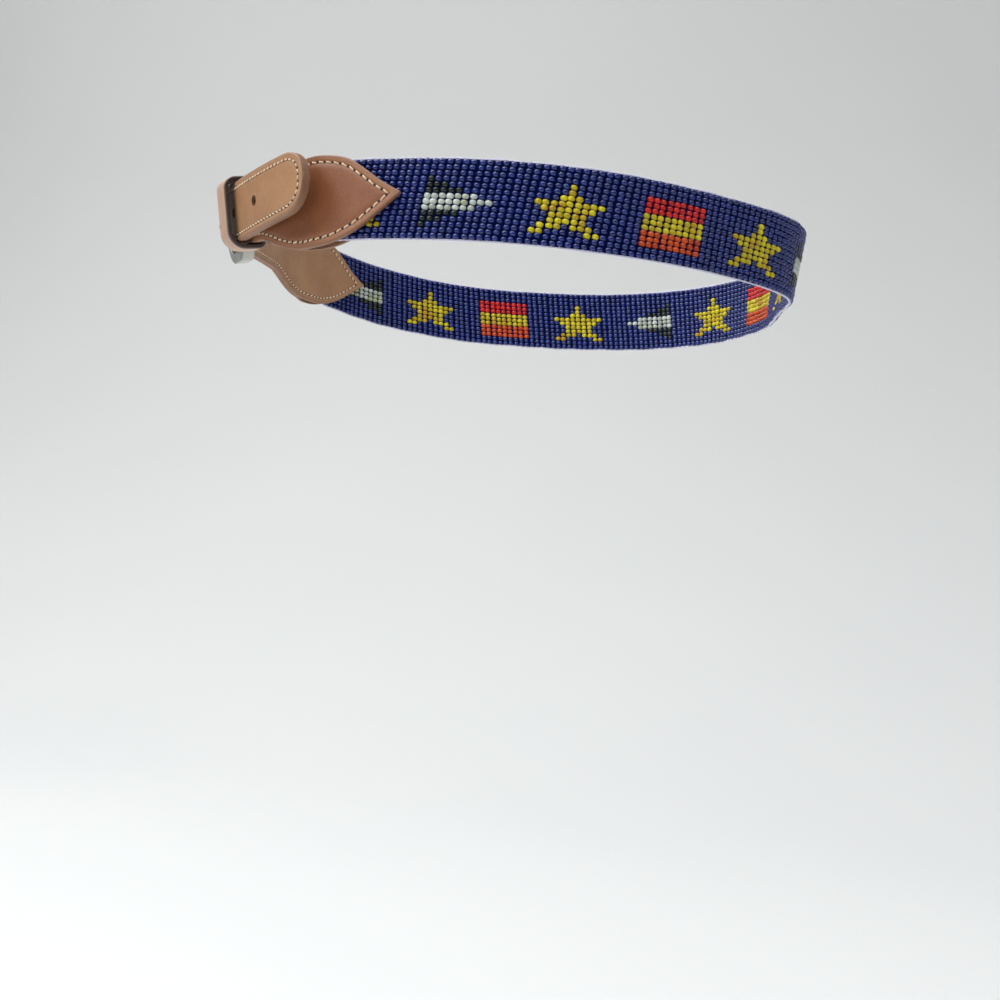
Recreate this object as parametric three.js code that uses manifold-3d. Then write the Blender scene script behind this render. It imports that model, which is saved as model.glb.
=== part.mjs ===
// Beaded belt for a child, fastened and closed in the loop that it makes round a waist.
// Millimetres, +Z up. The origin is the centre of the loop at the belt's mid height.
// +X is the wearer's left, -Y the wearer's front, where the buckle is, and +Y the back.
// An arc is a distance along the loop from its +X side, growing towards the back.
import * as THREE from 'three';
import { mergeVertices } from 'three/addons/utils/BufferGeometryUtils.js';
import Module from 'manifold-3d';

const wasm = await Module();
wasm.setup();

// Loop, measured on the middle surface of the bead band
const loopHalfWidth = 91;
const loopHalfDepth = 97;
const frontSquareness = 2.3; // exponent of the front half's curve, where 2 is an ellipse
const backSquareness = 2;
const frontRise = 8; // height of the belt's front above its back
const frontLean = THREE.MathUtils.degToRad(11); // the top edge leans out at the buckle
const clearance = 0.3;

// How the belt waves round the body, at even steps of the loop from its +X side to the
// back and round: rise and out as shares of the front's rise, lean of the front's lean
const loopWave = [
  { rise: -0.05, out: 0, lean: 0 },
  { rise: -0.14, out: 0.02, lean: 0 },
  { rise: -0.14, out: -0.06, lean: -0.15 },
  { rise: -0.13, out: 0.31, lean: 0.5 },
  { rise: 0.1, out: -0.59, lean: 0.8 },
  { rise: 0.12, out: -0.36, lean: 0.45 },
  { rise: 0.05, out: -0.1, lean: 0.15 },
  { rise: 0, out: 0, lean: 0 },
  { rise: 0, out: 0, lean: 0 },
  { rise: 0.07, out: 0, lean: 0 },
  { rise: 0.37, out: 0, lean: 0 },
  { rise: 0.8, out: 0, lean: 0.2 },
  { rise: 1, out: 0, lean: 0.65 },
  { rise: 0.6, out: 0, lean: 1 },
  { rise: 0.15, out: 0, lean: 0.9 },
  { rise: 0, out: 0, lean: 0.15 },
];

// Bead band
const beadRows = 14;
const rowPitch = 1.67;
const bandThickness = 2.1;
const bandTuck = 27; // length of the band held between the leaves at each end

// Leather, two layers of it in every strap
const leather = 1.4;
const edgeChamfer = 0.35;
const strapWidth = 18.5;
const leafMargin = 2.5; // how far a leaf stands proud of the band's edge
const leafPoint = 29; // from a leaf's tip to its widest place
const leafShoulder = 28; // from the widest place down to the strap
const leafClosing = 9; // length over which the two leaves come together

// Leaf's outline: along in shares of the point and then of the shoulder; heights in shares
// of the leaf's half width up to its widest place, and from there down to the strap's edge
const leafPointOutline = [
  { along: 0, top: 0.11, bottom: 0.08 },
  { along: 0.12, top: 0.24, bottom: -0.14 },
  { along: 0.24, top: 0.375, bottom: -0.345 },
  { along: 0.41, top: 0.605, bottom: -0.61 },
  { along: 0.59, top: 0.815, bottom: -0.8 },
  { along: 0.78, top: 0.91, bottom: -0.925 },
  { along: 1, top: 0.94, bottom: -0.98 },
];
const leafShoulderOutline = [
  { along: 0.19, top: 0.92, bottom: 1.01 },
  { along: 0.39, top: 0.7, bottom: 0.92 },
  { along: 0.6, top: 0.38, bottom: 0.65 },
  { along: 0.8, top: 0.13, bottom: 0.28 },
  { along: 1, top: 0, bottom: 0 },
];

// Buckle tab, keeper and buckle, as arcs from the loop's +X side
const tabTipArc = -21;
const heelBarArc = -104;
const keeperArc = -92.7;
const keeperWidth = 11.5;
const keeperWall = 1.4;
const keeperSlack = 0.6;
const keeperFrontSlack = 1.9; // room between the billet and the keeper's front
const keeperBackCorner = 0.9; // radius inside, behind the tab
const keeperTopCorner = 2.4; // radius inside, in front of the billet's top edge
const keeperBottomCorner = 4.4; // radius inside, in front of its bottom edge

// Buckle
const heelBarRadius = 1.5;
const frameReach = 17.5; // from the heel bar to the middle of the front bar
const frameHeight = 27;
const frameSlack = 0.65; // room inside the buckle at each edge of the strap
const frameDrop = 0.1; // how far the buckle hangs below the strap's middle
const rimWidth = 3.6;
const rimThickness = 3.8;
const rimBevel = 1.1;
const frontCorner = 8.5; // outer radius at the buckle's round front
const innerCorner = 2.6;
const heelCorner = 6;
const rimOverHeel = 1.6; // how far the rim reaches beyond the heel bar
const frontBarTilt = 0.34; // how far the bar's inner edge dips towards the heel bar, per width
const prongRadius = 1.15;
const prongRingWall = 1.3;
const prongRingWidth = 3.4;
const prongOverhang = 2.2; // how far the prong's tip reaches past the front bar's middle
const prongHoleEase = 0.45;
const slotReach = 6; // length of the tab's slot beyond the fold

// Billet
const billetOverTab = 4.2; // height of the billet's middle over the loop, at the keeper
const billetRise = 0.6; // how much higher than the tab the billet lies in the keeper
const tipRise = 4.4; // further rise from the keeper to the tip
const tipLift = 7; // how far the free end stands off beyond its height at the keeper
const tipLiftRun = 41.5; // length over which it stands off
const tipRounding = 9.5;
const tipSquareness = 2.4;
const tipToFirstHole = 29.8;
const holePitch = 19.7;
const holeRadius = 1.65;
const holeCount = 5;
const holeInUse = 2; // counted from the tip, the first hole being 0
const lastHoleToLeaf = 10;
const leafOverlap = 6; // length over which the strap is one with its leaves

// Fineness of the lofts
const bandStep = 3.6;
const leatherStep = 2.2;
const leafSteps = 26;
const tipSteps = [0.012, 0.07, 0.18, 0.34, 0.55, 0.78];
const loopPoints = 96;
const ringSides = 24;
const foldSides = 28;
const barSides = 20;
const holeSides = 16;
const shankSides = 12;
const boreOverrun = 2; // how much longer a bore's cutter is than the piece
const foldInset = 0.02; // keeps the fold's ends off the strap's edges
const frameStep = 0.5; // half the length over which a direction is read
const walkStep = 0.1; // step of a walk along the billet

const bandWidth = beadRows * rowPitch;
const bandHalf = bandThickness / 2;
const strapHalf = strapWidth / 2;
const leafHalf = bandWidth / 2 + leafMargin;
const leafLength = leafPoint + leafShoulder;
const foldRadius = heelBarRadius + clearance + leather;
const frontBarArc = heelBarArc - frameReach;
const keeperNearArc = keeperArc + keeperWidth / 2;
const up = new THREE.Vector3(0, 0, 1);

const ramp = (from, to, at) => {
  const share = THREE.MathUtils.clamp((at - from) / (to - from), 0, 1);
  return share * share * (3 - 2 * share);
};

// Loop in plan: a superellipse, squarer in front
function planCurve() {
  const points = [];
  for (let i = 0; i < loopPoints; i += 1) {
    const turn = (2 * Math.PI * i) / loopPoints;
    const across = Math.cos(turn);
    const back = Math.sin(turn);
    const power = 2 / (back < 0 ? frontSquareness : backSquareness);
    points.push(new THREE.Vector3(
      loopHalfWidth * Math.sign(across) * Math.abs(across) ** power,
      loopHalfDepth * Math.sign(back) * Math.abs(back) ** power,
      0,
    ));
  }
  const curve = new THREE.CatmullRomCurve3(points, true);
  curve.arcLengthDivisions = 2400;
  return curve;
}

const plan = planCurve();
const loopLength = plan.getLength();
const wave = new THREE.CatmullRomCurve3(
  loopWave.map(({ rise, out, lean }) => new THREE.Vector3(rise, out, lean)),
  true,
  'catmullrom',
);

const loopShare = (arc) => THREE.MathUtils.euclideanModulo(arc / loopLength, 1);

function loopPoint(arc) {
  const share = loopShare(arc);
  const { x: rise, y: out } = wave.getPoint(share);
  const outward = new THREE.Vector3().crossVectors(plan.getTangentAt(share), up);
  return plan.getPointAt(share).addScaledVector(outward, frontRise * out)
    .addScaledVector(up, frontRise * rise);
}

// Frame at an arc: where the belt's middle is, and its directions along, out and rise
function loopFrame(arc) {
  const centre = loopPoint(arc);
  const along = loopPoint(arc + frameStep).sub(loopPoint(arc - frameStep)).normalize();
  const out = new THREE.Vector3().crossVectors(along, up).normalize();
  const rise = new THREE.Vector3().crossVectors(out, along);
  const lean = frontLean * wave.getPoint(loopShare(arc)).z;
  out.applyAxisAngle(along, lean);
  rise.applyAxisAngle(along, lean);
  return { centre, along, out, rise };
}

const pointAt = (frame, out, rise) => frame.centre.clone()
  .addScaledVector(frame.out, out)
  .addScaledVector(frame.rise, rise);

// Solids
function meshOf(geometry) {
  const bare = geometry.clone();
  bare.deleteAttribute('normal');
  bare.deleteAttribute('uv');
  const merged = mergeVertices(bare, 1e-5);
  return new wasm.Mesh({
    numProp: 3,
    vertProperties: new Float32Array(merged.attributes.position.array),
    triVerts: new Uint32Array(merged.index.array),
  });
}

const solidOf = (geometry) => new wasm.Manifold(meshOf(geometry));

function geometryOf(solid) {
  const mesh = solid.getMesh();
  const geometry = new THREE.BufferGeometry();
  geometry.setAttribute('position', new THREE.BufferAttribute(mesh.vertProperties, 3));
  geometry.setIndex(new THREE.BufferAttribute(mesh.triVerts, 1));
  geometry.computeVertexNormals();
  return geometry;
}

// Vector along which a ring of points runs counter-clockwise
function ringAxis(ring) {
  const axis = new THREE.Vector3();
  for (let i = 1; i < ring.length - 1; i += 1) {
    const side = ring[i].clone().sub(ring[0]);
    axis.add(side.cross(ring[i + 1].clone().sub(ring[0])));
  }
  return axis;
}

// Loft through rings of points, closed at both ends, with its faces outwards
function loft(given) {
  const forward = given[1][0].clone().sub(given[0][0]);
  const reverse = ringAxis(given[0]).dot(forward) < 0;
  const rings = reverse ? given.map((ring) => [...ring].reverse()) : given;
  const size = rings[0].length;
  const last = (rings.length - 1) * size;
  const index = [];
  for (let ring = 0; ring < rings.length - 1; ring += 1) {
    for (let i = 0; i < size; i += 1) {
      const a = ring * size + i;
      const b = ring * size + ((i + 1) % size);
      index.push(a, b, a + size, b, b + size, a + size);
    }
  }
  for (let i = 1; i < size - 1; i += 1) {
    index.push(0, i + 1, i);
    index.push(last, last + i, last + i + 1);
  }
  const geometry = new THREE.BufferGeometry().setFromPoints(rings.flat());
  geometry.setIndex(index);
  return geometry;
}

// Section of a strap with chamfered edges, from its inner to its outer face
function strapRing(frame, inner, outer, bottom, top) {
  const cut = Math.min(edgeChamfer, (top - bottom) / 3, (outer - inner) / 3);
  return [
    pointAt(frame, inner + cut, bottom),
    pointAt(frame, outer - cut, bottom),
    pointAt(frame, outer, bottom + cut),
    pointAt(frame, outer, top - cut),
    pointAt(frame, outer - cut, top),
    pointAt(frame, inner + cut, top),
    pointAt(frame, inner, top - cut),
    pointAt(frame, inner, bottom + cut),
  ];
}

// Arcs from one place to another, at even steps near the wanted one
function stations(from, to, step) {
  const count = Math.ceil(Math.abs(to - from) / step);
  return Array.from({ length: count + 1 }, (_, i) => from + ((to - from) * i) / count);
}

// A strap of leather lofted through places along the loop or the billet
function strap(places, frameAt, sizeAt) {
  return solidOf(loft(places.map((place) => {
    const { inner, outer, bottom, top } = sizeAt(place);
    return strapRing(frameAt(place), inner, outer, bottom, top);
  })));
}

// Cylinder round a centre, with its axis along a direction
function cylinder(centre, direction, radius, length, sides) {
  const geometry = new THREE.CylinderGeometry(radius, radius, length, sides);
  const turn = new THREE.Quaternion().setFromUnitVectors(new THREE.Vector3(0, 1, 0), direction);
  geometry.applyQuaternion(turn);
  geometry.translate(centre.x, centre.y, centre.z);
  return solidOf(geometry);
}

// Places a shape drawn in out, rise and along onto a frame
function ontoFrame(geometry, frame) {
  const place = new THREE.Matrix4().makeBasis(frame.out, frame.rise, frame.out.clone().cross(frame.rise));
  place.setPosition(frame.centre);
  return geometry.applyMatrix4(place);
}

// Rectangle with one radius on its left corners and others at its lower and upper right
function roundedRectangle(box, corners, path) {
  const { left, bottom, right, top } = box;
  path.moveTo(left + corners.left, bottom);
  path.lineTo(right - corners.bottom, bottom);
  path.absarc(right - corners.bottom, bottom + corners.bottom, corners.bottom, -Math.PI / 2, 0);
  path.lineTo(right, top - corners.top);
  path.absarc(right - corners.top, top - corners.top, corners.top, 0, Math.PI / 2);
  path.lineTo(left + corners.left, top);
  path.absarc(left + corners.left, top - corners.left, corners.left, Math.PI / 2, Math.PI);
  path.lineTo(left, bottom + corners.left);
  path.absarc(left + corners.left, bottom + corners.left, corners.left, Math.PI, 1.5 * Math.PI);
  return path;
}

// Leaf: pointed piece of leather over a band's end, wide at first and then a strap.
// Its outline runs through points of distance from the tip, top edge and bottom edge.
const leafSpread = leafHalf - strapHalf;
const leafTopSpread = leafSpread + leafHalf * (leafPointOutline.at(-1).top - 1);
const leafBottomSpread = leafSpread - leafHalf * (leafPointOutline.at(-1).bottom + 1);
const leafOutline = new THREE.CatmullRomCurve3([
  ...leafPointOutline.map(({ along, top, bottom }) => new THREE.Vector3(
    along * leafPoint,
    top * leafHalf,
    bottom * leafHalf,
  )),
  ...leafShoulderOutline.map(({ along, top, bottom }) => new THREE.Vector3(
    leafPoint + along * leafShoulder,
    strapHalf + top * leafTopSpread,
    -(strapHalf + bottom * leafBottomSpread),
  )),
]);

// Offset of a leaf's inner face: clear of the band, then shut on the other leaf
function leafInnerAt(fromTip) {
  const open = bandHalf + clearance;
  const shutFrom = bandTuck + clearance;
  return open * (1 - ramp(shutFrom, shutFrom + leafClosing, fromTip));
}

// Places along a leaf and the strap after it, each with its distance from the tip
function leafStations(length) {
  const leaf = leafOutline.getSpacedPoints(leafSteps)
    .map(({ x, y, z }) => ({ distance: x, top: y, bottom: z }));
  const rest = length > leafLength + leatherStep
    ? stations(leafLength + leatherStep, length, leatherStep)
    : [length];
  return [
    ...leaf,
    ...rest.map((distance) => ({ distance, top: strapHalf, bottom: -strapHalf })),
  ];
}

// The two leaves of one end, as one piece of leather that closes into a strap
function leafPair(frameAt, length, outerFaceAt) {
  const overlap = 0.1;
  const side = (sign) => strap(leafStations(length), frameAt, ({ distance, top, bottom }) => {
    const inner = leafInnerAt(distance);
    const outer = Math.max(inner + leather, outerFaceAt(distance));
    const near = inner < overlap ? -overlap : inner;
    return {
      inner: sign > 0 ? near : -outer,
      outer: sign > 0 ? outer : -near,
      bottom,
      top,
    };
  });
  return side(1).add(side(-1));
}

// Bead band
const bandStartArc = tabTipArc - bandTuck;

function beadBand(bandEndArc) {
  const rings = stations(bandStartArc, bandEndArc, bandStep).map((arc) => {
    const frame = loopFrame(arc);
    return [
      pointAt(frame, -bandHalf, -bandWidth / 2),
      pointAt(frame, bandHalf, -bandWidth / 2),
      pointAt(frame, bandHalf, bandWidth / 2),
      pointAt(frame, -bandHalf, bandWidth / 2),
    ];
  });
  return solidOf(loft(rings));
}

// Buckle frame's own axes: along from the front bar to the heel bar
function buckleAxes() {
  const heel = loopFrame(heelBarArc);
  const front = loopFrame(frontBarArc);
  const frontBarOut = leather + clearance + rimThickness / 2 + frontBarTilt * rimWidth;
  const frontCentre = pointAt(front, frontBarOut, 0);
  const chord = heel.centre.clone().sub(frontCentre);
  const out = new THREE.Vector3().crossVectors(chord, heel.rise).normalize();
  const along = new THREE.Vector3().crossVectors(heel.rise, out);
  return { centre: heel.centre, along, out, rise: heel.rise };
}

const buckle = buckleAxes();

// Space for the heel bar through a piece of some width
const heelBarBore = (width) => cylinder(
  buckle.centre,
  buckle.rise,
  heelBarRadius + clearance,
  width + boreOverrun,
  ringSides,
);

// Buckle tab: folded round the heel bar, with a slot for the prong
function buckleTab() {
  const length = tabTipArc - heelBarArc;
  const foldStart = length - foldRadius - leather;
  const faceAt = (d) => leather + (foldRadius - leather) * ramp(foldStart, length - clearance, d);
  const heel = loopFrame(heelBarArc);
  let tab = leafPair(({ distance }) => loopFrame(tabTipArc - distance), length, faceAt);
  tab = tab.add(cylinder(heel.centre, heel.rise, foldRadius, strapWidth - foldInset, foldSides));
  tab = tab.subtract(heelBarBore(strapWidth));
  const slotLength = 2 * foldRadius + slotReach;
  const slot = new THREE.BoxGeometry(
    2 * foldRadius + 2,
    prongRingWidth + 4 * clearance,
    slotLength,
  );
  slot.translate(0, 0, foldRadius + leather - slotLength / 2);
  return tab.subtract(solidOf(ontoFrame(slot, heel)));
}

// Keeper: leather loop round the tab and the billet
function keeper() {
  const inside = {
    left: -(leather + keeperSlack),
    right: billetOverTab + leather + keeperFrontSlack,
    bottom: -(strapHalf + keeperSlack),
    top: strapHalf + billetRise + keeperSlack,
  };
  const outside = {
    left: inside.left - keeperWall,
    right: inside.right + keeperWall,
    bottom: inside.bottom - keeperWall,
    top: inside.top + keeperWall,
  };
  const cornersPast = (wall) => ({
    left: keeperBackCorner + wall,
    bottom: keeperBottomCorner + wall,
    top: keeperTopCorner + wall,
  });
  const outline = roundedRectangle(outside, cornersPast(keeperWall), new THREE.Shape());
  outline.holes.push(roundedRectangle(inside, cornersPast(0), new THREE.Path()));
  const geometry = new THREE.ExtrudeGeometry(outline, {
    depth: keeperWidth - 2 * edgeChamfer,
    bevelThickness: edgeChamfer,
    bevelSize: edgeChamfer,
    bevelOffset: -edgeChamfer,
    bevelSegments: 1,
    curveSegments: 7,
  });
  geometry.translate(0, 0, edgeChamfer - keeperWidth / 2);
  return solidOf(ontoFrame(geometry, loopFrame(keeperArc)));
}

// Buckle frame: three-sided rim with a round heel bar across its open end
function buckleFrame() {
  const half = frameHeight / 2;
  const outside = {
    left: -(frameReach + rimWidth / 2),
    right: heelBarRadius + rimOverHeel,
    bottom: -half - frameDrop,
    top: half - frameDrop,
  };
  const outsideCorners = { left: frontCorner, bottom: heelCorner, top: heelCorner };
  const outline = roundedRectangle(outside, outsideCorners, new THREE.Shape());
  const geometry = new THREE.ExtrudeGeometry(outline, {
    depth: rimThickness - 2 * rimBevel,
    bevelThickness: rimBevel,
    bevelSize: rimBevel,
    bevelOffset: -rimBevel,
    bevelSegments: 2,
    curveSegments: 8,
  });
  geometry.translate(0, 0, rimBevel - rimThickness / 2);
  const innerHalf = strapHalf + frameSlack;
  const inside = {
    left: outside.left + rimWidth,
    right: outside.right + 2 * innerCorner,
    bottom: -innerHalf - frameDrop,
    top: innerHalf - frameDrop,
  };
  const insideCorners = { left: innerCorner, bottom: innerCorner, top: innerCorner };
  const hole = new THREE.ExtrudeGeometry(
    roundedRectangle(inside, insideCorners, new THREE.Shape()),
    { depth: 2 * rimThickness, bevelEnabled: false, curveSegments: 6 },
  );
  hole.translate(0, 0, -rimThickness);
  const turn = new THREE.Matrix4().makeBasis(buckle.along, buckle.rise, buckle.out);
  turn.setPosition(buckle.centre);
  const rim = solidOf(geometry.applyMatrix4(turn)).subtract(solidOf(hole.applyMatrix4(turn)));
  const barCentre = buckle.centre.clone().addScaledVector(buckle.rise, -frameDrop);
  return rim.add(cylinder(barCentre, buckle.rise, heelBarRadius, half + innerHalf, barSides));
}

// Prong: a ring on the heel bar and a shank that rests on the front bar
const prongStartOut = heelBarRadius + clearance + prongRingWall - prongRadius;
const prongEndOut = rimThickness / 2 + 2 * clearance + prongRadius;

const onBuckle = (forward, out) => buckle.centre.clone()
  .addScaledVector(buckle.along, -forward)
  .addScaledVector(buckle.out, out);

const prongStart = onBuckle(0, prongStartOut);
const prongTip = onBuckle(frameReach + prongOverhang, prongEndOut);

// Round bar along the prong's shank
function shankBar(radius, sides) {
  const direction = prongTip.clone().sub(prongStart).normalize();
  const middle = prongStart.clone().add(prongTip).multiplyScalar(0.5);
  return cylinder(middle, direction, radius, prongTip.distanceTo(prongStart), sides);
}

function prong() {
  const bore = heelBarBore(prongRingWidth);
  const ringRadius = heelBarRadius + clearance + prongRingWall;
  const ring = cylinder(buckle.centre, buckle.rise, ringRadius, prongRingWidth, ringSides);
  return shankBar(prongRadius, shankSides).add(ring).subtract(bore);
}

// Billet: its middle surface, under the front bar, over the heel bar, and free at its tip
function billetPoint(arc) {
  const overFold = foldRadius + clearance + leather;
  const climb = overFold * ramp(frontBarArc + rimWidth / 2, heelBarArc - heelBarRadius, arc);
  const settle = (billetOverTab - overFold) * ramp(heelBarArc, keeperArc, arc);
  const past = Math.max(0, arc - keeperNearArc) / tipLiftRun;
  const lift = tipLift * past * past;
  const rise = billetRise * ramp(heelBarArc, keeperArc, arc) + tipRise * Math.min(1, past);
  return pointAt(loopFrame(arc), climb + settle + lift, rise);
}

function billetFrame(arc) {
  const centre = billetPoint(arc);
  const along = billetPoint(arc + frameStep).sub(billetPoint(arc - frameStep)).normalize();
  const out = new THREE.Vector3().crossVectors(along, loopFrame(arc).rise).normalize();
  const rise = new THREE.Vector3().crossVectors(out, along);
  return { centre, along, out, rise };
}

// Arc that lies a length of leather away from another, on the billet's own line
function billetArcFrom(arc, length) {
  const step = walkStep * Math.sign(length);
  let at = arc;
  let run = 0;
  while (run < Math.abs(length)) {
    run += billetPoint(at).distanceTo(billetPoint(at + step));
    at += step;
  }
  return at;
}

// Where the prong comes up through the billet
function prongCrossing() {
  const outOf = (point) => point.sub(buckle.centre).dot(buckle.out);
  const shankOut = (prongStartOut + prongEndOut) / 2;
  let arc = heelBarArc;
  while (outOf(billetPoint(arc)) > shankOut) {
    arc -= walkStep;
  }
  return arc;
}

const crossingArc = prongCrossing();
const tipToCrossing = tipToFirstHole + holeInUse * holePitch;
const billetTipArc = billetArcFrom(crossingArc, tipToCrossing);
const strapLength = tipToFirstHole + (holeCount - 1) * holePitch + lastHoleToLeaf;
const leafEndArc = billetArcFrom(billetTipArc, -strapLength);
const farTipArc = leafEndArc - leafLength;

function billetHalfAt(fromTip) {
  if (fromTip >= tipRounding) {
    return strapHalf;
  }
  const share = 1 - fromTip / tipRounding;
  return strapHalf * (1 - share ** tipSquareness) ** (1 / tipSquareness);
}

function billet() {
  const fromTip = (arc) => billetTipArc - arc;
  const tipArcs = tipSteps.map((share) => billetTipArc - share * tipRounding);
  const rest = stations(tipArcs.at(-1) - leatherStep, leafEndArc - leafOverlap, leatherStep);
  let body = strap([...tipArcs, ...rest], billetFrame, (arc) => ({
    inner: -leather,
    outer: leather,
    bottom: -billetHalfAt(fromTip(arc)),
    top: billetHalfAt(fromTip(arc)),
  }));
  const leafFrame = ({ distance }) => loopFrame(farTipArc + distance);
  body = body.add(leafPair(leafFrame, leafLength, () => leather));
  for (let hole = 0; hole < holeCount; hole += 1) {
    if (hole !== holeInUse) {
      const at = billetFrame(billetArcFrom(billetTipArc, -(tipToFirstHole + hole * holePitch)));
      body = body.subtract(cylinder(at.centre, at.out, holeRadius, 4 * leather, holeSides));
    }
  }
  return body.subtract(shankBar(prongRadius + prongHoleEase, holeSides));
}

// The band's far end lies between the billet's leaves, one loop further on
const bandEndArc = loopLength + farTipArc + bandTuck;

const finish = {
  beads: { color: 0x1d2a78, roughness: 0.3, metalness: 0 },
  leather: { color: 0xac8462, roughness: 0.6, metalness: 0 },
  keeper: { color: 0x8a6248, roughness: 0.5, metalness: 0 },
  nickel: { color: 0xa6a5a0, roughness: 0.28, metalness: 1 },
};

const belt = new THREE.Group();

function addPiece(name, solid, look) {
  const piece = new THREE.Mesh(geometryOf(solid), new THREE.MeshStandardMaterial(look));
  piece.name = name;
  belt.add(piece);
}

addPiece('bead_band', beadBand(bandEndArc), finish.beads);
addPiece('buckle_tab', buckleTab(), finish.leather);
addPiece('keeper', keeper(), finish.keeper);
addPiece('buckle_frame', buckleFrame(), finish.nickel);
addPiece('prong', prong(), finish.nickel);
addPiece('billet', billet(), finish.leather);

export default belt;
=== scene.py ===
"""Looks of the beaded belt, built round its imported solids.

Lengths are in millimetres until a mesh is made, and in metres in Blender. An arc is a
distance along the belt's loop from its +X side, growing towards the back.
"""

import logging
import math
import random
from dataclasses import dataclass, field, replace
from enum import Enum
from typing import Callable, Sequence

import bmesh
import bpy
import numpy as np
from mathutils import Matrix, Quaternion, Vector

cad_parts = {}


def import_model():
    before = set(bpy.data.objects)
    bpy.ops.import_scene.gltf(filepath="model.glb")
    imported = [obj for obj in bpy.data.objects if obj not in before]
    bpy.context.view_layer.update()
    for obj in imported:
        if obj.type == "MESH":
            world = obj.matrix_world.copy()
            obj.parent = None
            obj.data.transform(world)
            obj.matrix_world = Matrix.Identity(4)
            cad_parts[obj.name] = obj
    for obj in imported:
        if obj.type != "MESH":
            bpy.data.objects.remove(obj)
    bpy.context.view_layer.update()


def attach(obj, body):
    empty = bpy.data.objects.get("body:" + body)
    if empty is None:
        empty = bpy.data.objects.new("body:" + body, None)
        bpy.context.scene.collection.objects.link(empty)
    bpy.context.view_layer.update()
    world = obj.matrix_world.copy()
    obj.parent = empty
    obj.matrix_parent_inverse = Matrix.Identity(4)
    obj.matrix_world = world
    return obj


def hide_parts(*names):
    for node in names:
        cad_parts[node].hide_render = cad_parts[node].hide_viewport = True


LOG = logging.getLogger("beaded_belt")
MM = 0.001
UP = Vector((0.0, 0.0, 1.0))

# Loop and band
LOOP_HALF_WIDTH = 91.0
LOOP_HALF_DEPTH = 97.0
FRONT_SQUARENESS = 2.3
BACK_SQUARENESS = 2.0
FRONT_RISE = 8.0
FRONT_LEAN = math.radians(11.0)
CLEARANCE = 0.3
LOOP_STEPS = 7200
LOOP_WAVE = (
    # rise, out and lean, as shares of the front's rise and lean
    (-0.05, 0.0, 0.0),
    (-0.14, 0.02, 0.0),
    (-0.14, -0.06, -0.15),
    (-0.13, 0.31, 0.5),
    (0.1, -0.59, 0.8),
    (0.12, -0.36, 0.45),
    (0.05, -0.1, 0.15),
    (0.0, 0.0, 0.0),
    (0.0, 0.0, 0.0),
    (0.07, 0.0, 0.0),
    (0.37, 0.0, 0.0),
    (0.8, 0.0, 0.2),
    (1.0, 0.0, 0.65),
    (0.6, 0.0, 1.0),
    (0.15, 0.0, 0.9),
    (0.0, 0.0, 0.15),
)

# Beads
BEAD_ROWS = 14
ROW_PITCH = 1.67
COLUMN_PITCH = 2.305
FIRST_COLUMN_ARC = -13.55
COLUMN_SKEW = math.tan(math.radians(8.8))
BAND_HALF = BEAD_ROWS * ROW_PITCH / 2
BAND_TUCK = 27.0

# Leather
LEATHER = 1.4
STRAP_HALF = 9.25
LEAF_MARGIN = 2.5
LEAF_POINT = 29.0
LEAF_SHOULDER = 28.0
LEAF_CLOSING = 9.0
LEAF_HALF = BAND_HALF + LEAF_MARGIN
LEAF_LENGTH = LEAF_POINT + LEAF_SHOULDER
BAND_ROOM = 1.35
LEAF_POINT_OUTLINE = (
    # share of the point, then top and bottom as shares of the leaf's half width
    (0.0, 0.11, 0.08),
    (0.12, 0.24, -0.14),
    (0.24, 0.375, -0.345),
    (0.41, 0.605, -0.61),
    (0.59, 0.815, -0.8),
    (0.78, 0.91, -0.925),
    (1.0, 0.94, -0.98),
)
LEAF_SHOULDER_OUTLINE = (
    # share of the shoulder, then top and bottom as shares of what the leaf is wider
    (0.19, 0.92, 1.01),
    (0.39, 0.7, 0.92),
    (0.6, 0.38, 0.65),
    (0.8, 0.13, 0.28),
    (1.0, 0.0, 0.0),
)
LEAF_TIP_STEPS = (0.0, 0.25, 0.6, 1.1, 1.7, 2.4, 3.2)
FAR_FROM_SEAM = 9.0
TAB_TIP_ARC = -21.0
HEEL_BAR_ARC = -104.0
KEEPER_ARC = -92.7
KEEPER_WIDTH = 11.5

# Buckle
HEEL_BAR_RADIUS = 1.5
FRAME_REACH = 17.5
RIM_WIDTH = 3.6
RIM_THICKNESS = 3.8
FRONT_BAR_TILT = 0.34
PRONG_RADIUS = 1.15
PRONG_RING_WALL = 1.3
PRONG_RING_WIDTH = 3.4
PRONG_OVERHANG = 2.2
FOLD_RADIUS = HEEL_BAR_RADIUS + CLEARANCE + LEATHER
FRONT_BAR_ARC = HEEL_BAR_ARC - FRAME_REACH
KEEPER_NEAR_ARC = KEEPER_ARC + KEEPER_WIDTH / 2

# Billet
BILLET_OVER_TAB = 4.2
BILLET_RISE = 0.6
TIP_RISE = 4.4
TIP_LIFT = 7.0
TIP_LIFT_RUN = 41.5
TIP_TO_FIRST_HOLE = 29.8
HOLE_PITCH = 19.7
HOLE_COUNT = 5
HOLE_IN_USE = 2
LAST_HOLE_TO_LEAF = 10.0


Colour = tuple[int, int, int]
Value = float | tuple[float, ...] | bpy.types.NodeSocket


def ramp(start: float, end: float, at: float) -> float:
    """Smooth step.

    Args:
        start: Where the result is 0.
        end: Where the result is 1.
        at: Where to read it.

    Returns:
        Share between 0 and 1.
    """
    share = min(1.0, max(0.0, (at - start) / (end - start)))
    return share * share * (3 - 2 * share)


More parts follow.
